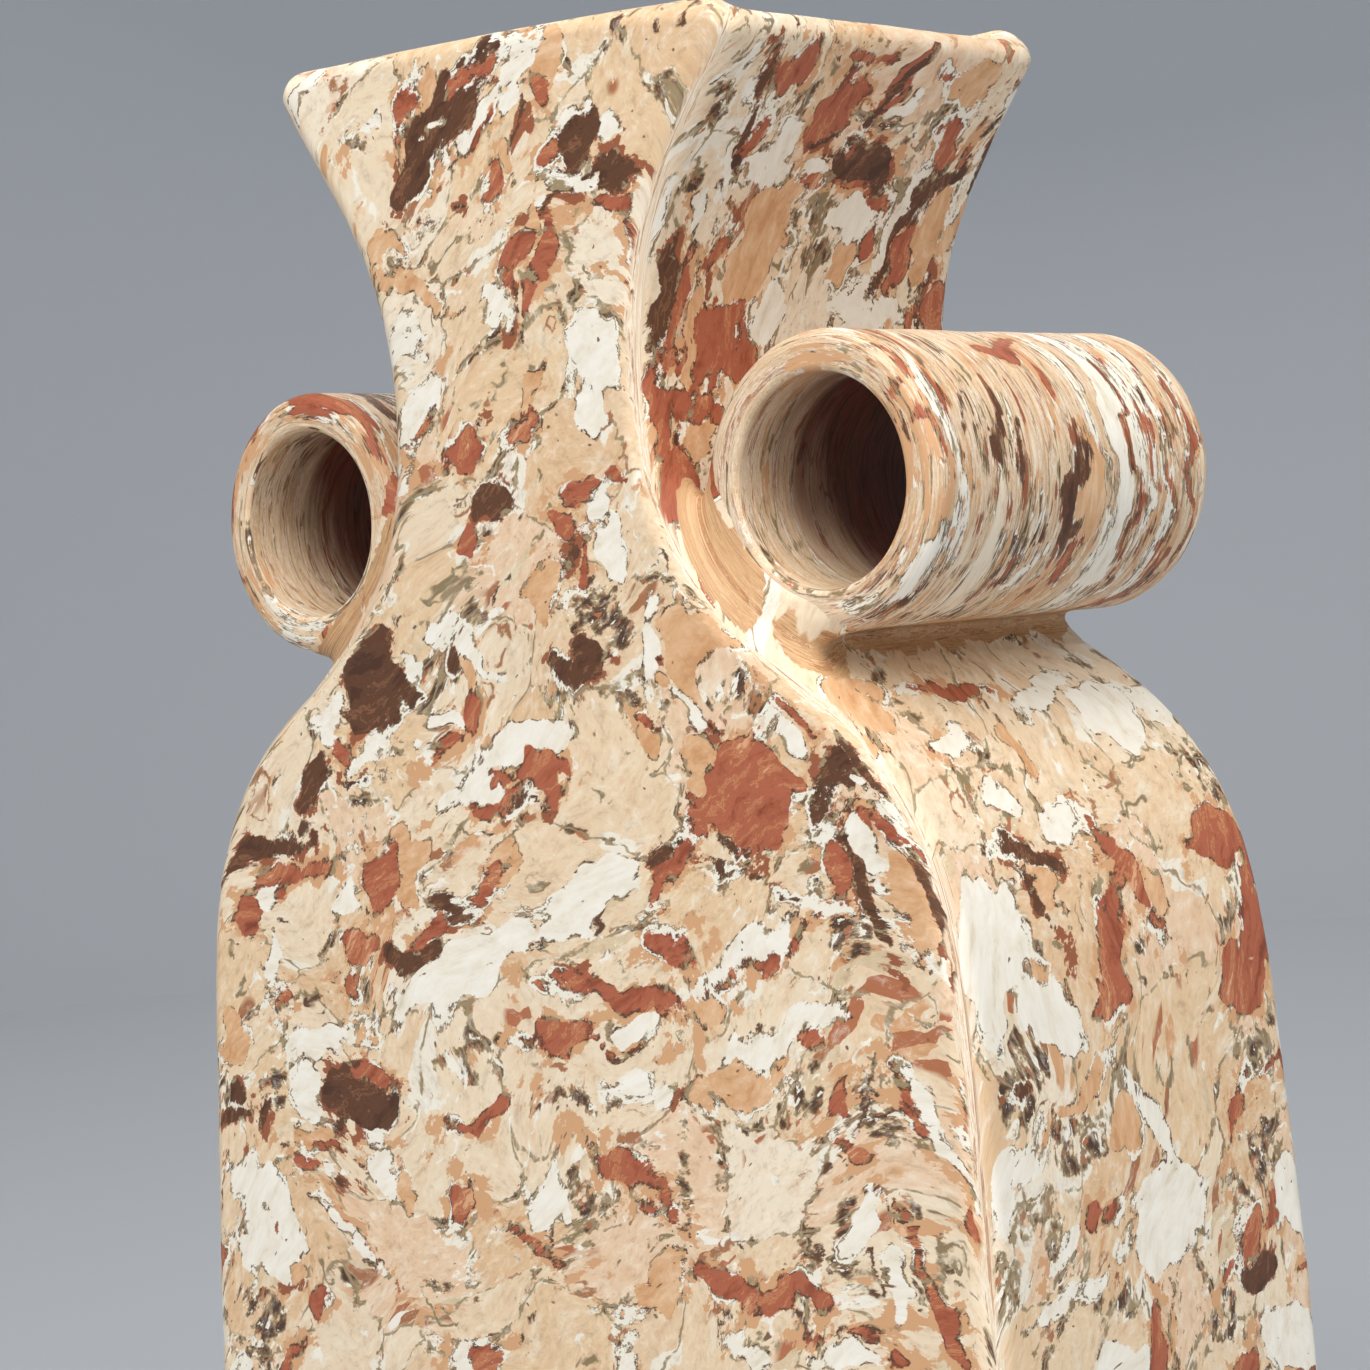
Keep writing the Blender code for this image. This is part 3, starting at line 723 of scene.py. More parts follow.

# A lump is (clay, across, up the slab, long, wide, lean) in mm and degrees, and a later one lies over
# an earlier one. The larger patches of the front and the right side were read off one by one, and the rest
# are strewn by chance. Each piece is cut from a place of its own in the block, its offset.
FRONT_LUMPS = scattered(60, (-112, 0), (112, 112), 0, 1) + scattered(60, (-112, 0), (112, 380), WALL, 2)
FRONT_LUMPS += [
    ("white", -55, 378, 9, 6, 80), ("white", -35, 370, 9, 4, 20), ("grit", -40, 366, 14, 6, 25),
    ("peach", -21, 366, 26, 6, 58), ("rust", -23, 369, 11, 4, 58), ("dark", -14, 365, 42, 11, 42),
    ("rust", -4, 374, 12, 5, 30), ("white", -16, 365, 4, 2.5, 45), ("peach", -16, 373, 7, 4, 40),
    ("white", 8, 374, 9, 8, 0), ("white", -2, 366, 22, 4, 42), ("rust", -4, 363, 12, 1.5, 45),
    ("white", 5, 366, 8, 6, 60), ("dark", 8.5, 363, 7, 1.5, 80), ("rust", -0.5, 353, 9, 5, 80),
    ("peach", 5, 355, 8, 4, 75), ("dark", -8, 349, 6, 1, -30), ("peach", 18, 375, 12, 9, 70),
    ("rust", 17, 369, 7, 5, 20), ("dark", 26, 357, 13, 7, 30), ("rust", 16, 354, 8, 4, 35),
    ("white", 24, 361, 9, 3, 20), ("white", 35, 357, 7, 5, -50), ("white", 24, 348.5, 20, 5, 8),
    ("dark", 34, 349, 9, 5, 0), ("dark", 22, 345.5, 14, 1, 8), ("dark", 28, 351, 8, 1.2, 15),
    ("rust", 33, 344, 15, 4, 12), ("peach", 9, 343, 12, 4, 55), ("rust", 14, 338, 12, 6, 75),
    ("rust", 5, 336, 12, 5, 60), ("rust", 7, 326, 16, 4, 65), ("dark", 4, 328, 7, 1.2, 70),
    ("rust", 37, 335, 10, 3, 75), ("rust", 33, 331, 6, 2, 10), ("white", -3, 328, 9, 5, 10),
    ("peach", -34, 342, 12, 7, 0), ("peach", -26, 333, 22, 4, -20), ("white", -30, 324, 18, 9, 0),
    ("white", 26, 315, 18, 16, 90), ("white", 23, 304, 12, 7, -55), ("white", -26, 308, 22, 8, 50),
    ("rust", -27, 303, 14, 1.6, 50), ("rust", -14, 298, 11, 8, 20), ("dark", -8, 304, 6, 3, 60),
    ("rust", 4, 303, 9, 5, 50), ("peach", 6, 309, 9, 4, 50), ("dark", -7, 288, 11, 7, 10),
    ("rust", -13, 281, 8, 7, 45), ("rust", 23, 289, 19, 5, 8), ("rust", 15, 282, 8, 5, 0),
    ("white", 26, 275, 10, 9, 90), ("white", 24, 284, 7, 5, 40), ("peach", 7, 271, 13, 7, 65),
    ("dark", 14, 276, 6, 1.5, 60), ("rust", 17, 273, 11, 3, 75), ("grit", 21, 263, 19, 14, 0),
    ("dark", 16, 254.5, 14, 8, -15), ("white", 36, 258, 12, 7, 80), ("dark", 38, 257, 4, 1.5, -40),
    ("peach", 38, 251, 6, 4, 0), ("peach", 46, 256, 22, 11, -80), ("peach", 53, 261, 14, 8, -25),
    ("grit", 30, 245, 12, 10, 0), ("rust", 34, 242.5, 7, 3, -20), ("peach", 35, 238, 7, 5, 0),
    ("white", 44, 244, 12, 3.5, -50), ("dark", 49, 241, 5, 1.5, -40), ("peach", 47, 235, 8, 6, 90),
    ("grit", 51, 248, 14, 3, 90), ("grit", 60, 247, 16, 8, -20), ("rust", 70, 244.5, 12, 2.5, -35),
    ("white", 68, 240, 10, 4, -40), ("rust", 58, 228, 20, 22, 0), ("rust", 49, 226, 12, 8, 30),
    ("dark", 55, 219, 9, 3, -25), ("dark", 58, 212.5, 15, 1.5, -15), ("rust", 38, 214, 17, 6, 45),
    ("dark", 36, 217, 7, 2.5, 30), ("white", 13, 207, 32, 11, 30), ("white", 0, 239, 30, 9, 12),
    ("white", -16, 229, 22, 6, 15), ("rust", 4, 233, 13, 8, -30), ("rust", -6, 231, 8, 3, 0),
    ("rust", -10, 227, 20, 3, 8), ("dark", -1, 226.5, 10, 2, 0), ("peach", -9, 215, 14, 9, 35),
    ("rust", -15, 210, 16, 5, 40), ("dark", -26, 204, 10, 4, -10), ("white", -24, 192, 46, 13, 24),
    ("dark", -39, 195, 22, 7, 12), ("rust", -33, 200, 14, 4, 10), ("dark", -46, 250, 21, 18, 0),
    ("dark", -45, 259, 10, 9, 0), ("white", -36, 255, 7, 4, 80), ("white", -50, 237, 18, 4.5, 10),
    ("rust", -58, 239, 10, 5, 15), ("dark", -55, 232, 8, 1.6, 0), ("white", -62, 244, 12, 7, 60),
    ("white", -67, 246, 6, 4, 0), ("dark", -68, 230.5, 12, 7, 50), ("white", -26, 243, 10, 5, 0),
    ("rust", -18, 247, 12, 5, 80), ("rust", -24, 237, 12, 3, 15), ("dark", -22, 256, 6, 5, 0),
    ("peach", -17, 254, 8, 6, 90), ("white", -17, 259, 24, 3, -28), ("white", -27, 263, 8, 5, 0),
    ("peach", -39, 214, 14, 11, 60), ("rust", -46, 212, 16, 8, 70), ("dark", -85, 216, 34, 5.5, 12),
    ("rust", -76, 211, 28, 4, 10), ("rust", -92, 203, 12, 5, 20), ("white", -60, 206, 12, 6, 40),
    ("white", -84, 206, 8, 4, 0), ("rust", -55, 196, 10, 8, 40), ("rust", -58, 188, 9, 6, 0),
    ("grit", -54, 186, 9, 6, 60), ("peach", -60, 178, 10, 5, 0), ("white", -69, 175, 24, 7, 15),
    ("white", -75, 164, 12, 10, 80), ("white", -85, 192, 14, 5, 80), ("rust", -81, 185, 9, 3.5, 90),
    ("dark", -56, 164, 28, 15, -3), ("rust", -52, 169, 14, 5, -8), ("grit", -86, 164, 14, 10, 10),
    ("grit", -101, 161, 14, 14, 0), ("dark", -99, 163, 7, 5, 60), ("dark", -90, 159, 6, 3, 90),
    ("dark", -101, 157, 9, 3, 10), ("peach", -101, 175, 10, 9, 80), ("peach", -71, 155, 14, 5, 5),
    ("rust", -66, 152.5, 12, 2, 0), ("rust", -75, 148.5, 14, 3.5, -12), ("white", -66, 147, 12, 4, 5),
    ("dark", -64, 145, 6, 2, 0), ("white", -53, 148, 14, 8, -60), ("white", -90, 136, 30, 16, -50),
    ("white", -91, 128, 22, 12, -10), ("rust", -88, 133, 8, 1.5, -30), ("peach", -81, 124, 8, 4, 30),
    ("dark", -84, 121.5, 6, 1, 10), ("rust", -74, 118, 8, 6, 80), ("rust", -108, 126, 6, 5, 90),
    ("grit", -93, 111, 22, 10, 25), ("rust", -85, 103, 9, 4, 40), ("white", -62, 133, 30, 4, -35),
    ("rust", -57, 131, 24, 1.5, -38), ("white", -3, 147, 13, 9, 80), ("rust", -26, 145, 11, 8, 20),
    ("rust", -19, 162, 18, 3, 20), ("rust", -7, 137, 20, 3, -20), ("grit", -22, 174, 26, 8, 10),
    ("grit", -31, 126, 16, 4, -5), ("grit", -27, 118, 18, 3, -20), ("peach", -44, 144, 8, 6, -50),
    ("dark", 14, 191, 10, 3, 0), ("rust", 22, 189, 36, 5, -3), ("rust", 37, 198.5, 14, 6, 0),
    ("white", 27, 183, 14, 4, 0), ("rust", 30, 186, 12, 2, -10), ("rust", 7, 181, 18, 4, 5),
    ("rust", 12, 179, 30, 2.5, 0), ("peach", 47, 188, 12, 6, 0), ("white", 62, 182, 32, 7, 22),
    ("rust", 70, 181, 8, 2.5, 10), ("white", 57, 199, 30, 7, 32), ("rust", 59, 197, 24, 2.5, 25),
    ("peach", 68, 203, 9, 3, 50), ("white", 25, 171, 16, 9, 0), ("grit", 36, 155, 26, 5, -85),
    ("dark", 37, 170, 5, 2, 30), ("peach", 52, 172.5, 28, 9, 8), ("grit", 67, 170, 16, 9, 40),
    ("rust", 78, 172, 12, 4, 45), ("rust", 80, 164, 8, 3, 0), ("grit", 86, 172, 22, 8, -50),
    ("rust", 94, 170, 14, 3.5, -50), ("rust", 20, 155, 22, 5.5, -15), ("rust", 33, 148, 14, 3, -45),
    ("rust", 27, 147, 8, 2, -15), ("white", 3, 146, 6, 6, 0), ("grit", 12, 149, 18, 8, -10),
    ("grit", 10, 168, 24, 6, 5), ("rust", 47, 133.5, 20, 7, -8), ("rust", 64, 133, 22, 6, 10),
    ("peach", 28, 132, 18, 6, 45), ("white", 52, 123, 12, 4, -8), ("rust", 76, 129, 16, 1.5, 10),
    ("white", 76, 125, 14, 5, 10), ("rust", 87, 125, 7, 4, 0), ("grit", 77, 147, 24, 8, 80),
    ("white", 81, 149, 12, 6, 60), ("white", 88, 138, 12, 5, -70), ("rust", 91, 153, 12, 3, -10),
    ("peach", 92, 146, 14, 3, -55), ("rust", 100, 135, 28, 5, -58), ("grit", 98, 150, 22, 5, -55),
    ("white", 100, 168, 26, 4, -50), ("rust", 108, 153, 10, 2, -70), ("rust", 108, 176, 8, 2, 85),
    ("dark", 76, 229, 16, 5, 85), ("dark", 82, 234, 9, 8, 60), ("dark", 87, 236, 16, 3, -38),
    ("white", 87, 231, 9, 3, -25), ("peach", 86, 225.5, 14, 3, -15), ("rust", 91, 222, 24, 3, -18),
    ("dark", 81, 221, 8, 3, -20), ("dark", 86, 212, 22, 4, -62), ("white", 87, 218, 14, 5, -55),
    ("peach", 96, 209, 20, 8, -65), ("dark", 102, 210, 20, 5, -70), ("rust", 79, 214, 14, 8, -70),
    ("grit", 83, 203, 12, 10, -60),
]
wall_piece("front_wall_slab", "front_wall", "front", FRONT_LUMPS, SLAB_LEAN, (0, 0, 0))

BACK_LUMPS = scattered(170, (-112, 0), (112, 384), 0, 3) + scattered(60, (-112, 0), (112, 380), WALL, 4)
wall_piece("back_wall_slab", "back_wall", "back", BACK_LUMPS, BACK_LEAN, (500, 90, 0))

RIGHT_LUMPS = scattered(30, (-50, 0), (50, 102), 0, 5) + scattered(40, (-50, 0), (50, 400), WALL, 6)
RIGHT_LUMPS += [
    ("grit", -40, 366, 16, 5, 85), ("white", -32.5, 374, 26, 2.5, 95), ("white", -47, 361, 9, 5, 80),
    ("white", -36, 362, 12, 4, 80), ("white", -41, 392, 10, 4, 60), ("grit", -42, 385, 12, 6, 80),
    ("rust", -25, 392, 15, 10, 45), ("dark", -30.5, 377, 38, 2, 97), ("rust", -27, 376, 12, 4, 80),
    ("grit", -18, 386, 11, 9, 70), ("white", -18, 376, 11, 7, 50), ("white", -20, 368, 17, 8, 4),
    ("grit", -27, 356, 24, 5, 85), ("peach", -16, 355, 30, 14, 72), ("dark", -27.5, 348, 14, 1.4, 75),
    ("rust", -27, 352, 12, 3, 82), ("rust", -25, 333, 24, 15, 25), ("rust", -31, 323, 17, 12, 10),
    ("white", -19, 335, 4, 3, 40), ("white", -28, 326, 6, 3, 0), ("dark", -43, 345, 18, 7, 85),
    ("rust", -38.5, 341, 24, 4, 82), ("peach", -33, 338, 26, 4, 82), ("rust", -44, 322, 17, 8, 85),
    ("dark", -39, 316, 14, 1.5, 98), ("rust", -43, 307, 15, 12, 0), ("peach", -33, 313, 12, 6, 60),
    ("white", -9, 340, 19, 7, 78), ("white", 21, 341, 24, 7, -3), ("white", 13, 336, 14, 4, 0),
    ("rust", -7, 383, 20, 8, 62), ("rust", 9, 392, 20, 7, 68), ("dark", 7, 387, 16, 2.5, 62),
    ("dark", -8, 377, 10, 2, 40), ("rust", -2, 396, 16, 3, 0), ("dark", 12, 396, 8, 3, 70),
    ("white", 12, 384, 10, 4, 45), ("grit", 11, 379, 14, 7, 20), ("white", -5, 371, 10, 4, 20),
    ("rust", -7, 368, 8, 3, -10), ("rust", 9, 371, 25, 13, -18), ("dark", 9, 372, 22, 9, -16),
    ("rust", 15, 366, 12, 3, -30), ("white", 9, 360, 18, 8, -6), ("grit", -4, 362, 12, 11, 0),
    ("grit", 0, 353, 14, 7, 0), ("peach", 10, 351, 12, 7, 30), ("rust", 16, 354, 9, 4, 80),
    ("rust", 20.5, 362, 13, 2.5, -72), ("white", 24, 358, 26, 3.6, 70), ("dark", 26.8, 358, 27, 2.4, 73),
    ("rust", 30, 353, 18, 6, 74), ("peach", 37, 358, 22, 8, 80), ("rust", 31, 379, 12, 6, 80),
    ("dark", 34, 369, 14, 4, 60), ("rust", 38, 374, 12, 6, 75), ("dark", 38, 373, 10, 5, 50),
    ("dark", 46.5, 378, 28, 3, 88), ("peach", 45, 361, 14, 5, 60), ("dark", 48, 345, 18, 3, 88),
    ("rust", 43, 340, 16, 6, 86), ("dark", 38, 341, 14, 2.5, 86), ("white", 38, 346, 6, 2.5, 88),
    ("rust", 34, 338, 10, 4, 80), ("peach", 30, 392, 16, 10, 20), ("rust", 22, 394, 5, 3, 0),
    ("grit", 40, 383, 12, 5, 50), ("white", 46, 391, 8, 4, 60), ("grit", -3, 336, 12, 2, 80),
    ("peach", -42, 244, 22, 12, 60), ("rust", -12, 245.5, 24, 6, -8),
    ("white", 12, 241, 26, 7, 20), ("white", 27, 234, 26, 14, 20), ("white", 44, 235, 14, 6, 60),
    ("peach", -9, 229.5, 12, 4, 75), ("rust", -34, 231, 4, 2, 20), ("white", -28, 231, 12, 5, -10),
    ("white", -26, 218, 12, 7, 0), ("white", -11, 211, 12, 9, 0), ("peach", -22, 201, 14, 10, -40),
    ("dark", -22, 205.5, 16, 3, -10), ("dark", -24, 197, 14, 2.5, -60), ("white", -41, 191, 30, 20, 85),
    ("rust", -4, 186, 30, 9, 70), ("rust", 7, 198, 28, 7, -60), ("peach", 13, 195, 14, 6, -70),
    ("grit", 5, 184, 10, 4, 80), ("rust", 38, 203, 18, 10, 0), ("rust", 47, 192, 26, 7, 85),
    ("rust", 44, 184, 12, 12, 0), ("rust", 37, 173, 14, 14, 60), ("peach", -24, 182, 14, 5, -30),
    ("white", -30, 179, 12, 10, 30), ("white", -26, 176, 22, 12, -20), ("grit", -37, 166, 20, 16, 60),
    ("dark", -38, 164, 5, 4, 0), ("white", -38, 151, 14, 6, 30), ("white", -47, 147, 12, 8, 60),
    ("peach", -24, 157.5, 26, 5, 32), ("grit", -20, 152, 18, 12, 0), ("peach", -9, 153, 8, 9, 0),
    ("white", 3, 150, 30, 5, -50), ("white", 4, 134, 24, 20, 20), ("white", 5, 131, 26, 14, 25),
    ("rust", -18, 136.5, 9, 5, 10), ("white", -27, 136, 6, 4, 0), ("rust", -31, 133, 6, 1.5, 20),
    ("rust", 29, 127, 10, 6, 60), ("rust", 38, 127, 9, 5, 30), ("dark", 31, 117.5, 9, 8, 90),
    ("rust", 24, 117, 14, 2.5, 35), ("white", 46, 131, 14, 16, 0), ("rust", 30, 147, 14, 3, 65),
    ("rust", 48, 158, 10, 2, 10), ("white", 50, 163, 6, 7, 0), ("grit", 40, 162, 20, 5, 25),
    ("grit", 38, 140, 16, 12, 60), ("rust", -5, 110, 18, 6, 85), ("peach", 1, 112, 12, 3, 85),
    ("grit", 17, 110, 12, 10, 0), ("rust", 24, 102, 7, 6, -30), ("rust", 49, 115, 8, 3, 20),
    ("white", -30, 125, 26, 4, 12), ("white", -17, 110, 10, 6, 0),
]
LEFT_LUMPS = scattered(110, (-50, 0), (50, 397), 0, 7) + scattered(40, (-50, 0), (50, 400), WALL, 8)

# The strips of one side are cut from one length of clay and meet behind its tube.
TUBES = {"right": (73.96, 286.2), "left": (-72.83, 287.5)}
STRIP_CLAY = {"right": (RIGHT_LUMPS, (900, 30, 0)), "left": (LEFT_LUMPS, (1300, 60, 0))}
for side, (tube_x, tube_z) in TUBES.items():
    lumps, offset = STRIP_CLAY[side]
    joint = int(np.argmin(np.hypot(out_x - abs(tube_x), out_z - tube_z)))
    for part, low, high in (("body", 0, joint), ("neck", joint, None)):
        name = f"{side}_{part}_strip"
        wall_piece(name + "_slab", name, side, lumps, STRIP_LEAN, offset, low, high)


# The base: a flat slab of the same marbled clay, cut to the outline of the walls' foot. They stand on
# it and are scored and pressed down onto it, and its lower edge is eased with a thumb.

FOOT_RADIUS = 2.5
EDGE_STEPS = 8
INNER_RINGS = 24
CRISP_EDGE = 0.3
SIDE_STEPS = 5
MIDDLE_SHARE = 0.02


def base_slab():
    """Rings of points from the middle of the underside, out round the edge, to the middle of the top."""
    sides = ("front", "right", "back", "left")
    plan = np.concatenate([wall_surface(side)[1][0, PAST_MITRE : -PAST_MITRE - 1] for side in sides])
    rings = []
    for share in np.linspace(MIDDLE_SHARE, 1, INNER_RINGS)[:-1]:
        reach = share * (1 - FOOT_RADIUS / FOOT_DEPTH * 2)
        rings.append(plan * (reach, reach, 0))
    for angle in np.linspace(0, math.pi / 2, EDGE_STEPS):
        inset = FOOT_RADIUS * (1 - math.sin(angle))
        size = (1 - inset / (BELLY_WIDTH / 2), 1 - inset / (FOOT_DEPTH / 2), 0)
        rings.append(plan * size + (0, 0, FOOT_RADIUS * (1 - math.cos(angle))))
    for z in (*np.linspace(FOOT_RADIUS, BASE_TOP - CRISP_EDGE, SIDE_STEPS)[1:], BASE_TOP):
        rings.append(plan * (1, 1, 0) + (0, 0, z))
    for share in np.linspace(1 - 2 * CRISP_EDGE / FOOT_DEPTH, MIDDLE_SHARE, INNER_RINGS):
        rings.append(plan * (share, share, 0) + (0, 0, BASE_TOP))
    return np.array(rings)


rings = base_slab()
rings = np.concatenate([rings, rings[:, :1]], axis=1)
base_normals = normals_of(np.concatenate([rings[:, -2:-1], rings, rings[:, 1:2]], axis=1))[:, 1:-1]
base_places = rings[..., (0, 2, 1)]
base_lumps = scattered(60, (-110, -2), (110, 9), -FOOT_DEPTH / 2, 9)
base_rings, base_columns = rings.shape[:2]
clay_piece(
    "base_slab_of_clay",
    ["base_slab"],
    wall_clay,
    rings,
    base_normals,
    grid_quads(base_rings, base_columns),
    base_places + np.array((1700, 20, 0)),
    lumps_at(base_places, base_lumps, SEAM_REACH),
    np.full((base_rings, base_columns), float(SEAM_REACH)),
)


# The two tubes: a slab of the same clay wrapped round a former, which draws its colours out into
# streaks round it. Both ends are smoothed with a wet finger.

TUBE_RADIUS = 28.6
BORE_RADIUS = 20.15
TUBE_FRONT = -42.5
TUBE_BACK = 48
TUBE_EDGE = 3.6
BORE_EDGE = 1.6
EDGE_POINTS = 9
TUBE_TURNS = 220
# How thin the clay's layers lie along a tube, how far they are drawn out round it, and how aslant the
# painted shade of its bore begins: nearer the mouth on top, deeper in on its lower side, where more light
# falls.
STREAK = 3.4
DRAW = 2.4
BORE_SHADE_TILT = 9


def tube_profile():
    """Points (radius, along) round the section of a tube's wall, from inside its back to its front."""
    arcs = (
        (BORE_RADIUS + BORE_EDGE, TUBE_FRONT + BORE_EDGE, BORE_EDGE, 180, 270),
        (TUBE_RADIUS - TUBE_EDGE, TUBE_FRONT + TUBE_EDGE, TUBE_EDGE, 270, 360),
        (TUBE_RADIUS - TUBE_EDGE, TUBE_BACK - TUBE_EDGE, TUBE_EDGE, 0, 90),
        (BORE_RADIUS + BORE_EDGE, TUBE_BACK - BORE_EDGE, BORE_EDGE, 90, 180),
    )
    points = []
    for radius, along, size, start, end in arcs:
        for angle in np.radians(np.linspace(start, end, EDGE_POINTS)):
            points.append((radius + size * math.cos(angle), along + size * math.sin(angle)))
    corners = np.array(points + points[:1])
    line = [corners[0]]
    for point in corners[1:]:
        gap = np.linalg.norm(point - line[-1])
        pieces = max(1, round(gap / GRID))
        line += [line[-1] + (point - line[-1]) * (i + 1) / pieces for i in range(pieces)]
    return np.array(line[:-1])


def ring_normals(points):
    """Outward normals of a grid that closes both ways, whose last column repeats the first."""
    wrapped = np.concatenate([points[-1:], points, points[:1]])
    wrapped = np.concatenate([wrapped[:, -2:-1], wrapped, wrapped[:, 1:2]], axis=1)
    return -normals_of(wrapped)[1:-1, 1:-1]


def tube_piece(side, lumps, offset):
    """One tube. Its lumps are (clay, along, round, long, wide, lean), and go round past the joint."""
    profile = tube_profile()
    angles = np.linspace(-math.pi, math.pi, TUBE_TURNS + 1)
    middle_x, middle_z = TUBES[side]
    cos, sin = np.cos(angles)[None, :], np.sin(angles)[None, :]
    radius, along = profile[:, :1] + 0 * cos, profile[:, 1:] + 0 * cos
    points = np.stack([middle_x + radius * cos, along, middle_z + radius * sin], axis=-1)
    points = pressed(points, ring_normals(points))
    normals = ring_normals(points)
    arc = TUBE_RADIUS * angles[None, :] + 0 * radius
    if middle_x < 0:
        arc = (TUBE_RADIUS * (math.pi - np.abs(angles)) * np.sign(angles))[None, :] + 0 * radius
    depth = TUBE_RADIUS - radius
    # How far into the bore a place lies, for its painted shade, counted less on the lower side, where light
    # falls.
    bore_shade_depth = np.minimum(along - TUBE_FRONT, TUBE_BACK - along) + BORE_SHADE_TILT * sin
    bore_shade_depth = np.where(depth > (TUBE_RADIUS - BORE_RADIUS) / 2, bore_shade_depth, 0)
    places = np.stack([STREAK * (along - depth), radius * cos / DRAW, radius * sin / DRAW], axis=-1)
    girth = math.tau * TUBE_RADIUS
    wound = [(*lump[:2], lump[2] + turn, *lump[3:]) for lump in lumps for turn in (-girth, 0, girth)]
    round_places = np.stack([along, TUBE_RADIUS * cos + depth, TUBE_RADIUS * sin + 0 * depth], axis=-1)
    fields = lumps_at(np.stack([along, arc, depth], axis=-1), wound, SEAM_REACH, round_places)
    quads = grid_quads(len(points), TUBE_TURNS + 1, wrap_rows=True)[:, ::-1]
    clay_piece(
        side + "_tube_of_clay",
        [side + "_tube"],
        tube_clay,
        points,
        normals,
        quads,
        places + np.array(offset),
        fields,
        bore_shade_depth,
    )


tube_clay = marbled_stoneware("marbled_stoneware_tube", 0, drawn=True)
RIGHT_TUBE_LUMPS = [
    ("grit", -27, 10, 90, 3, 90), ("white", 17, 0, 130, 5, 90), ("white", 12.5, -14, 90, 1.5, 95),
    ("white", 24, 6, 90, 2, 92), ("rust", 20.5, 12, 60, 1.6, 94), ("dark", 21.5, -12, 34, 1, 92),
    ("rust", 27, 5, 60, 1.6, 97), ("dark", 30, 20, 30, 1, 94), ("rust", 34, -8, 50, 1.6, 92),
    ("white", 32, 0, 70, 1.6, 94), ("dark", 37, -30, 16, 3, 80), ("rust", 41, 0, 60, 2, 92),
    ("rust", -5, 28, 22, 5, 20), ("rust", -1, 20, 16, 3, 70), ("dark", 4, -1, 12, 3, 92),
    ("peach", -4, -27, 20, 3, 60), ("dark", -22, 8, 14, 3, 72), ("dark", -16, 4, 11, 2.5, 76),
    ("white", -19, 7, 6, 1.4, 75), ("rust", -14, 0, 8, 1.5, 80), ("grit", -14, -12, 26, 11, 80),
    ("dark", -12, -20, 12, 1.5, 60), ("white", -8, -22, 16, 3, 50), ("rust", -34, 30, 50, 2, 90),
    ("white", -37, 5, 60, 2.5, 90), ("rust", -41, 14, 26, 2, 90), ("dark", -38, -27, 16, 2, 60),
    ("white", -40, -20, 22, 3, 80), ("peach", -4, -40, 34, 6, 4), ("peach", 24, -42, 28, 6, 0),
    ("grit", -26, -37, 30, 7, 4), ("rust", 34, -36, 22, 3, 70), ("grit", 12, -38, 30, 5, 0),
    ("peach", 6, -8, 30, 8, 88), ("dark", 1, -7, 24, 4.5, 88), ("rust", 4, -22, 15, 5, 82),
]
LEFT_TUBE_LUMPS = [
    ("rust", -40, 45, 60, 6, 90), ("rust", -41, 0, 40, 3, 90), ("grit", -25, 50, 60, 12, 90),
    ("white", -42, -40, 30, 2, 90), ("white", 0, 10, 90, 7, 90), ("dark", -30, 60, 30, 3, 90),
    ("rust", 15, -10, 50, 4, 95), ("dark", 5, 40, 20, 4, 85), ("white", 28, -20, 60, 5, 88),
]
tube_piece("right", RIGHT_TUBE_LUMPS, (2100, 0, 0))
tube_piece("left", LEFT_TUBE_LUMPS, (2500, 0, 0))


# Soft joining clay, pressed with a fingertip into the creases between each tube and the wall. It
# wets both, so it swells from one to the other without an edge, and takes the lip of the tube along.

# How wide the clay swells under a tube and over it, how much more at its front lip and over what
# length, in what turn under passes into over, how deep it bites into tube and wall, and how thin it ends.
LOWER_BLEND = 8.5
UPPER_BLEND = 6.5
LIP_BLEND = 5
LIP_REACH = 9
BLEND_SWING = 0.8
BITE = 0.8
FEATHER = 0.07
# The block of space that is searched for its surface, and how.
JOIN_LOW = (34, -50.4, 238)
JOIN_HIGH = (106, 50.4, 320)
CELL = 0.7
LAST_CELL = 1.001
SETTLING_STEPS = 4
LEAST_SLOPE = 0.3
# Its streaks lie along the crease, and end where the clay thins out.
CREASE_SPREAD = 3
THIN_CLAY = 6
THIN_RATE = 7
STREAK_REACH = 8
RIDGE_REACH = NECK_DEPTH / 2 - CORNER_RADIUS * (1 - math.pi / 4)
# Brown streaks of the joining clay, in tones that are darkened overall as painted shade of the crease under
# each tube.
JOIN_STREAK_AND_SHADE_STOPS = (
    (0.32, "#6E4630"),
    (0.38, "#B5865A"),
    (0.44, "#D2AB7E"),
    (0.475, "#B98A5F"),
    (0.51, "#DDBB90"),
    (0.54, "#C79A6D"),
    (0.57, "#A56F4A"),
    (0.61, "#D2AA7E"),
    (0.66, "#6E4630"),
)


def outline_gap(x, z):
    """Distance of each place from the bottle outline, less than nothing inside it, and length up it."""
    line = np.stack([out_x, out_z], axis=-1)
    run = np.diff(line, axis=0)
    gap = np.stack([x, z], axis=-1)[..., None, :] - line[:-1]
    share = np.clip((gap * run).sum(axis=-1) / (run * run).sum(axis=-1), 0, 1)
    off = np.linalg.norm(gap - share[..., None] * run, axis=-1)
    nearest = off.argmin(axis=-1)[..., None]
    distance = np.take_along_axis(off, nearest, -1)[..., 0]
    length = out_length[:-1] + share * out_length[1]
    inside = x < np.interp(z, out_z, out_x)
    return np.where(inside, -distance, distance), np.take_along_axis(length, nearest, -1)[..., 0]


def rounded(across, along, radius):
    """Distance from a block with rounded edges, from the distances to its two faces."""
    across = across + radius
    along = along + radius
    outside = np.hypot(np.maximum(across, 0), np.maximum(along, 0))
    return outside + np.minimum(np.maximum(across, along), 0) - radius


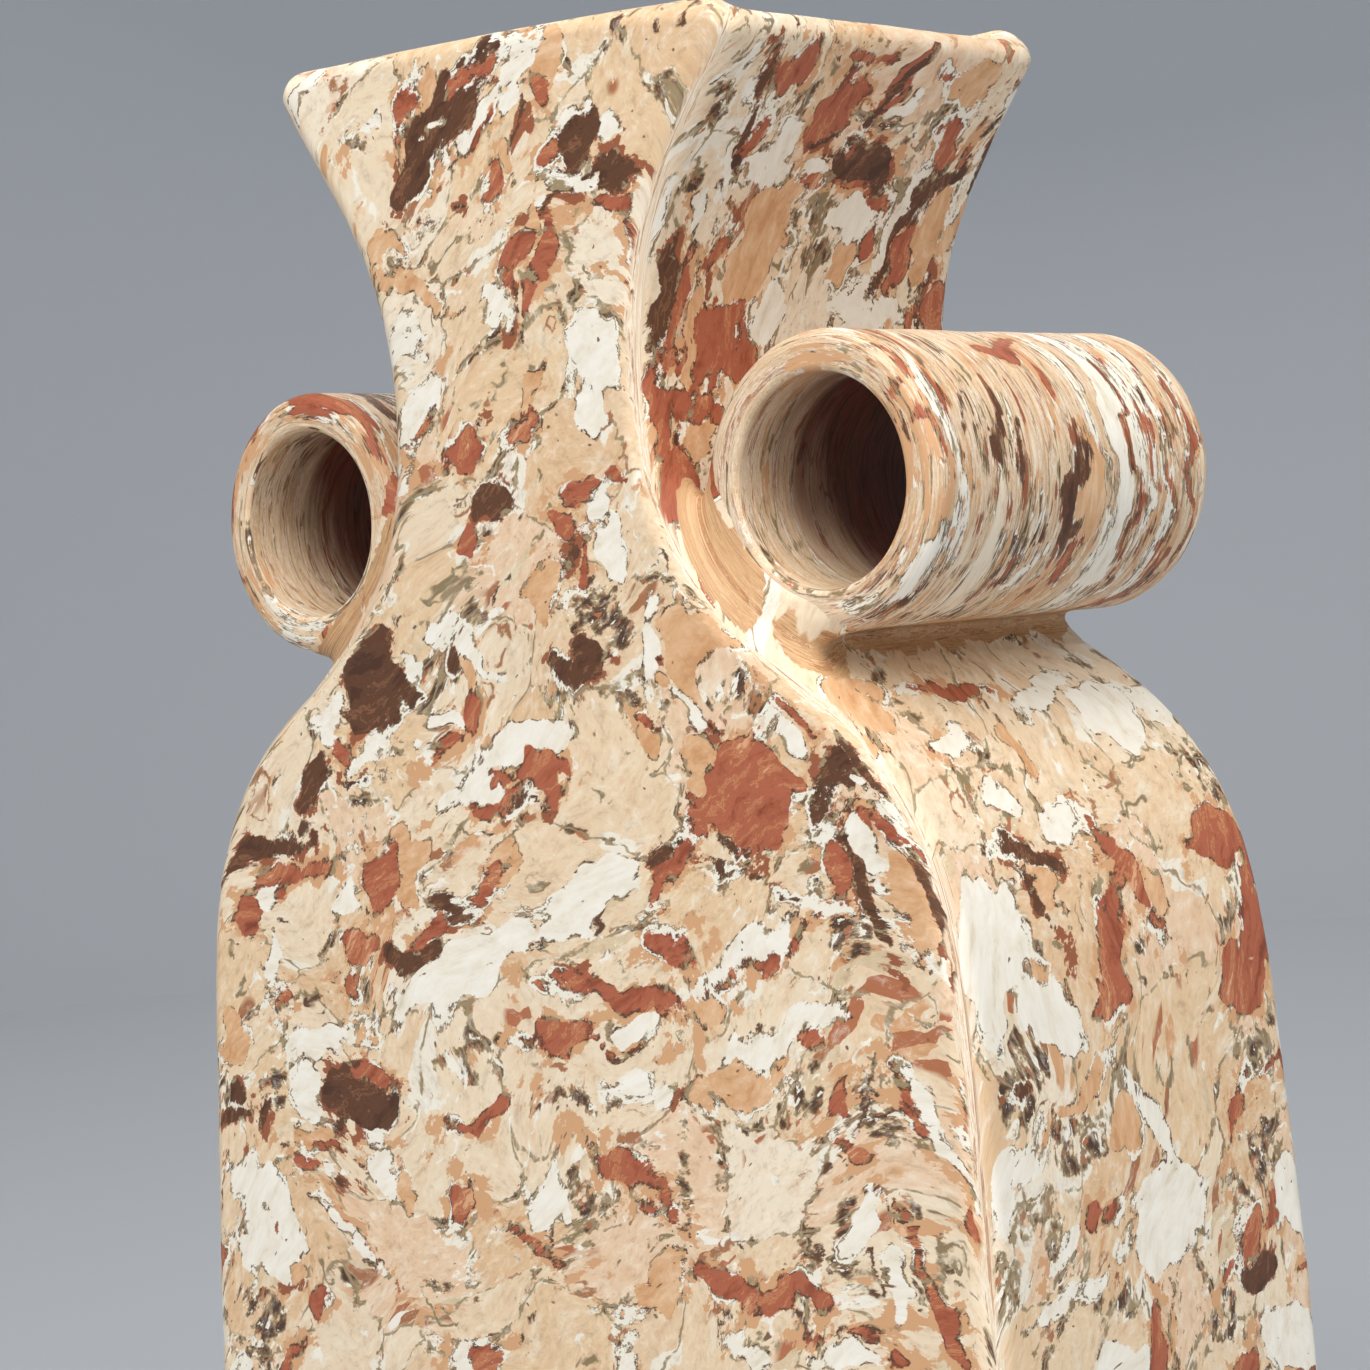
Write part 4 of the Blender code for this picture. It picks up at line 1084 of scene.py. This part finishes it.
def join_field(points, centre, outline):
    """What joining makes of the gaps to tube and wall: the joined gap, both gaps, and what it added."""
    x, y, z = points[..., 0], points[..., 1], points[..., 2]
    tube_x, tube_z, touch_angle = centre
    radial = np.hypot(x - tube_x, z - tube_z)
    off_wall = np.abs(radial - (TUBE_RADIUS + BORE_RADIUS) / 2) - (TUBE_RADIUS - BORE_RADIUS) / 2
    off_end = np.abs(y - (TUBE_FRONT + TUBE_BACK) / 2) - (TUBE_BACK - TUBE_FRONT) / 2
    tube = rounded(off_wall, off_end, TUBE_EDGE)
    wall = rounded(outline, np.abs(y) - NECK_DEPTH / 2, CORNER_RADIUS)
    swing = (np.arctan2(z - tube_z, x - tube_x) - touch_angle + math.pi) % math.tau - math.pi
    share = np.clip(swing / BLEND_SWING + 0.5, 0, 1)
    blend = UPPER_BLEND + (LOWER_BLEND - UPPER_BLEND) * share**2 * (3 - 2 * share)
    blend = blend + LIP_BLEND * np.exp(-(((y - TUBE_FRONT) / LIP_REACH) ** 2))
    added = np.maximum(blend - np.abs(tube - wall), 0) ** 2 / blend / 4
    return np.minimum(tube, wall) - added, tube, wall, added


def join_edge(points, centre, outline):
    """Less than nothing inside the joining clay: what joining added, and its bite into tube and wall."""
    joined, tube, wall, added = join_field(points, centre, outline)
    return np.maximum.reduce([joined, -tube - BITE, -wall - BITE, FEATHER - added])


def net_of(field, low):
    """Points and quads of the smooth net where a grid of numbers changes sign, by surface nets."""
    offsets = [(i, j, k) for i in (0, 1) for j in (0, 1) for k in (0, 1)]
    size = [n - 1 for n in field.shape]

    def corner(offset):
        return field[tuple(slice(o, o + n) for o, n in zip(offset, size))]

    below = sum((corner(offset) < 0).astype(np.int8) for offset in offsets)
    mixed = (below > 0) & (below < 8)
    ids = np.full(mixed.shape, -1)
    ids[mixed] = np.arange(mixed.sum())
    total = np.zeros((mixed.sum(), 3))
    count = np.zeros(mixed.sum())
    for axis in range(3):
        for offset in offsets:
            if offset[axis]:
                continue
            far = tuple(o + (a == axis) for a, o in enumerate(offset))
            start, end = corner(offset)[mixed], corner(far)[mixed]
            crosses = (start < 0) != (end < 0)
            place = np.tile(np.array(offset, float), (len(start), 1))
            place[:, axis] += start / np.where(crosses, start - end, 1)
            total += np.where(crosses[:, None], place, 0)
            count += crosses
    points = np.array(low) + CELL * (np.argwhere(mixed) + total / count[:, None])
    quads = []
    for axis in range(3):
        one, two = (axis + 1) % 3, (axis + 2) % 3
        negative = np.moveaxis(field < 0, axis, 0)
        crossing = np.moveaxis(negative[:-1] != negative[1:], 0, axis)
        start = np.argwhere(crossing)
        for other in (one, two):
            start = start[(start[:, other] > 0) & (start[:, other] < size[other])]
        around = []
        for i, j in ((1, 1), (0, 1), (0, 0), (1, 0)):
            cell = start.copy()
            cell[:, one] -= i
            cell[:, two] -= j
            around.append(ids[tuple(cell.T)])
        around = np.stack(around, axis=-1)
        leaving = field[tuple(start.T)] < 0
        quads.append(np.where(leaving[:, None], around, around[:, ::-1]))
    return points, np.concatenate(quads)


SLOPE_STEP = 0.15


def slope_of(function, points):
    """Gradient of a function of points, by small steps."""
    ways = SLOPE_STEP * np.eye(3)
    return np.stack([(function(points + w) - function(points - w)) / (2 * SLOPE_STEP) for w in ways], axis=-1)


def joining_piece(side, lumps, offset):
    """The joining clay round one tube, worked out as if it were on the right."""
    tube_x, tube_z = abs(TUBES[side][0]), TUBES[side][1]
    joint = np.argmin(np.hypot(out_x - tube_x, out_z - tube_z))
    centre = (tube_x, tube_z, math.atan2(out_z[joint] - tube_z, out_x[joint] - tube_x))
    axes = [np.arange(low, high, CELL) for low, high in zip(JOIN_LOW, JOIN_HIGH)]
    table = outline_gap(*np.meshgrid(axes[0], axes[2], indexing="ij"))[0]

    def outline_at(points):
        column = np.clip((points[:, 0] - JOIN_LOW[0]) / CELL, 0, table.shape[0] - LAST_CELL)
        row = np.clip((points[:, 2] - JOIN_LOW[2]) / CELL, 0, table.shape[1] - LAST_CELL)
        i, j = column.astype(int), row.astype(int)
        u, v = column - i, row - j
        low = table[i, j] * (1 - u) + table[i + 1, j] * u
        high = table[i, j + 1] * (1 - u) + table[i + 1, j + 1] * u
        return low * (1 - v) + high * v

    def edge(points):
        return join_edge(points, centre, outline_at(points))

    def skin(points):
        return join_field(points, centre, outline_at(points))[0]

    grid = np.stack(np.meshgrid(*axes, indexing="ij"), axis=-1)
    points, quads = net_of(join_edge(grid, centre, table[:, None, :]), JOIN_LOW)
    for _ in range(SETTLING_STEPS):
        slope = slope_of(edge, points)
        steepness = np.maximum((slope**2).sum(axis=-1), LEAST_SLOPE)
        points = points - (edge(points) / steepness)[:, None] * slope
    normals = slope_of(skin, points)
    normals /= np.linalg.norm(normals, axis=-1, keepdims=True)
    tube, wall, added = join_field(points, centre, outline_at(points))[1:]
    mirror = np.array((math.copysign(1, TUBES[side][0]), 1, 1))
    length = outline_gap(points[:, 0], points[:, 2])[1]
    places = np.stack([points[:, 1] * mirror[0], length, 0 * tube], axis=-1)
    ridge = np.clip(RIDGE_REACH - np.abs(points[:, 1]), 0, SEAM_REACH)
    off_crease = np.abs(tube - wall) / CREASE_SPREAD + np.maximum(0, THIN_CLAY - THIN_RATE * added)
    clay_piece(
        side + "_joining_clay",
        [side + "_lower_coil", side + "_upper_coil"],
        joining_clay,
        pressed(points * mirror, normals * mirror),
        normals * mirror,
        quads if side == "right" else quads[:, ::-1],
        flowing(places, STRIP_LEAN, ridge) + np.array(offset),
        lumps_at(places, lumps, ridge),
        off_crease,
        False,
    )


joining_clay = marbled_stoneware("pressed_joining_clay", STREAK_REACH, JOIN_STREAK_AND_SHADE_STOPS)
for side in TUBES:
    joining_piece(side, *STRIP_CLAY[side])


# The stage: a floor of pale matt paper that curves up into a backdrop all round, four softboxes, and
# the photo's camera. The lamps give clay its own colour where they fall square on it. Metres and watts.

PAPER_GREY = "#B4BAC2"
FLOOR_RADIUS = 1.6
BEND_RADIUS = 0.9
BEND_POINTS = 17
BACKDROP_TOP = 3.2
AROUND = 97
LAMP_AIM = (0, 0, 0.22)
LAMPS = {
    "softbox_above": ((0.5, -0.7, 1.9), 1.4, 28, "#FFFCF7"),
    "softbox_front": ((0.5, -1.6, 1.5), 1.1, 17.5, "#FFFAF4"),
    "softbox_right": ((1.8, -0.4, 1.6), 1.1, 17, "#FFFAF4"),
    "softbox_behind": ((-1.1, 1.6, 1.5), 1.1, 8, "#FFFAF4"),
}
ROOM_COLOUR = "#FBF7F1"
ROOM_LIGHT = 0.12
CAMERA_PLACE = (0.44392, -0.47986, 0.26811)
CAMERA_LENS = 80.6
CAMERA_YAW = 42.938
CAMERA_PITCH = -1.826
CAMERA_ROLL = -3.923


def matt_paper():
    """Uncoated paper, which spreads the light evenly and shows no shine."""
    material = bpy.data.materials.new("matt_paper")
    material.use_nodes = True
    tree = material.node_tree
    tree.nodes.clear()
    shader = add(tree, "BsdfPrincipled", {"Base Color": linear(PAPER_GREY), "Roughness": 0.9})
    add(tree, "OutputMaterial", {"Surface": shader})
    return material


def ring_surface(name, profile):
    """Surface of revolution through (radius, height) points."""
    angles = np.linspace(0, math.tau, AROUND)
    radius = np.array(profile)[:, :1]
    height = np.array(profile)[:, 1:]
    points = np.stack([radius * np.cos(angles), radius * np.sin(angles), height + 0 * angles], axis=-1)
    mesh = bpy.data.meshes.new(name)
    mesh.from_pydata(points.reshape(-1, 3).tolist(), [], grid_quads(len(profile), AROUND)[:, ::-1].tolist())
    mesh.polygons.foreach_set("use_smooth", [True] * len(mesh.polygons))
    mesh.materials.append(paper)
    surface = bpy.data.objects.new(name, mesh)
    bpy.context.scene.collection.objects.link(surface)
    return surface


paper = matt_paper()
floor = ring_surface("floor", [(0.001, 0), (0.4, 0), (1.0, 0), (FLOOR_RADIUS, 0)])
bend = [
    (FLOOR_RADIUS + BEND_RADIUS * math.sin(a), BEND_RADIUS - BEND_RADIUS * math.cos(a))
    for a in np.linspace(0, math.pi / 2, BEND_POINTS)
]
backdrop = ring_surface("backdrop", bend + [(FLOOR_RADIUS + BEND_RADIUS, BACKDROP_TOP)])

scene = bpy.context.scene
scene.view_settings.view_transform = "Standard"

world = bpy.data.worlds.new("soft_room")
world.use_nodes = True
world.node_tree.nodes["Background"].inputs["Color"].default_value = linear(ROOM_COLOUR)
world.node_tree.nodes["Background"].inputs["Strength"].default_value = ROOM_LIGHT
scene.world = world


def area_lamp(name, place, size, power, colour):
    """Square softbox that faces the middle of the vase."""
    data = bpy.data.lights.new(name, "AREA")
    data.shape = "SQUARE"
    data.size = size
    data.energy = power
    data.color = linear(colour)[:3]
    lamp = bpy.data.objects.new(name, data)
    lamp.location = place
    toward = Vector(LAMP_AIM) - Vector(place)
    lamp.rotation_euler = toward.to_track_quat("-Z", "Y").to_euler()
    scene.collection.objects.link(lamp)


for name, settings in LAMPS.items():
    area_lamp(name, *settings)

camera_data = bpy.data.cameras.new("camera")
camera_data.sensor_width = 36
camera_data.lens = CAMERA_LENS
camera_data.clip_start = 0.01
camera = bpy.data.objects.new("camera", camera_data)
yaw, pitch, roll = (math.radians(a) for a in (CAMERA_YAW, CAMERA_PITCH, CAMERA_ROLL))
ahead = np.array((-math.sin(yaw) * math.cos(pitch), math.cos(yaw) * math.cos(pitch), math.sin(pitch)))
level_right = np.array((math.cos(yaw), math.sin(yaw), 0))
level_up = np.cross(level_right, ahead)
right = level_right * math.cos(roll) + level_up * math.sin(roll)
up = level_up * math.cos(roll) - level_right * math.sin(roll)
camera.matrix_world = Matrix(
    [[right[i], up[i], -ahead[i], CAMERA_PLACE[i]] for i in range(3)] + [[0, 0, 0, 1]]
)
scene.collection.objects.link(camera)
scene.camera = camera
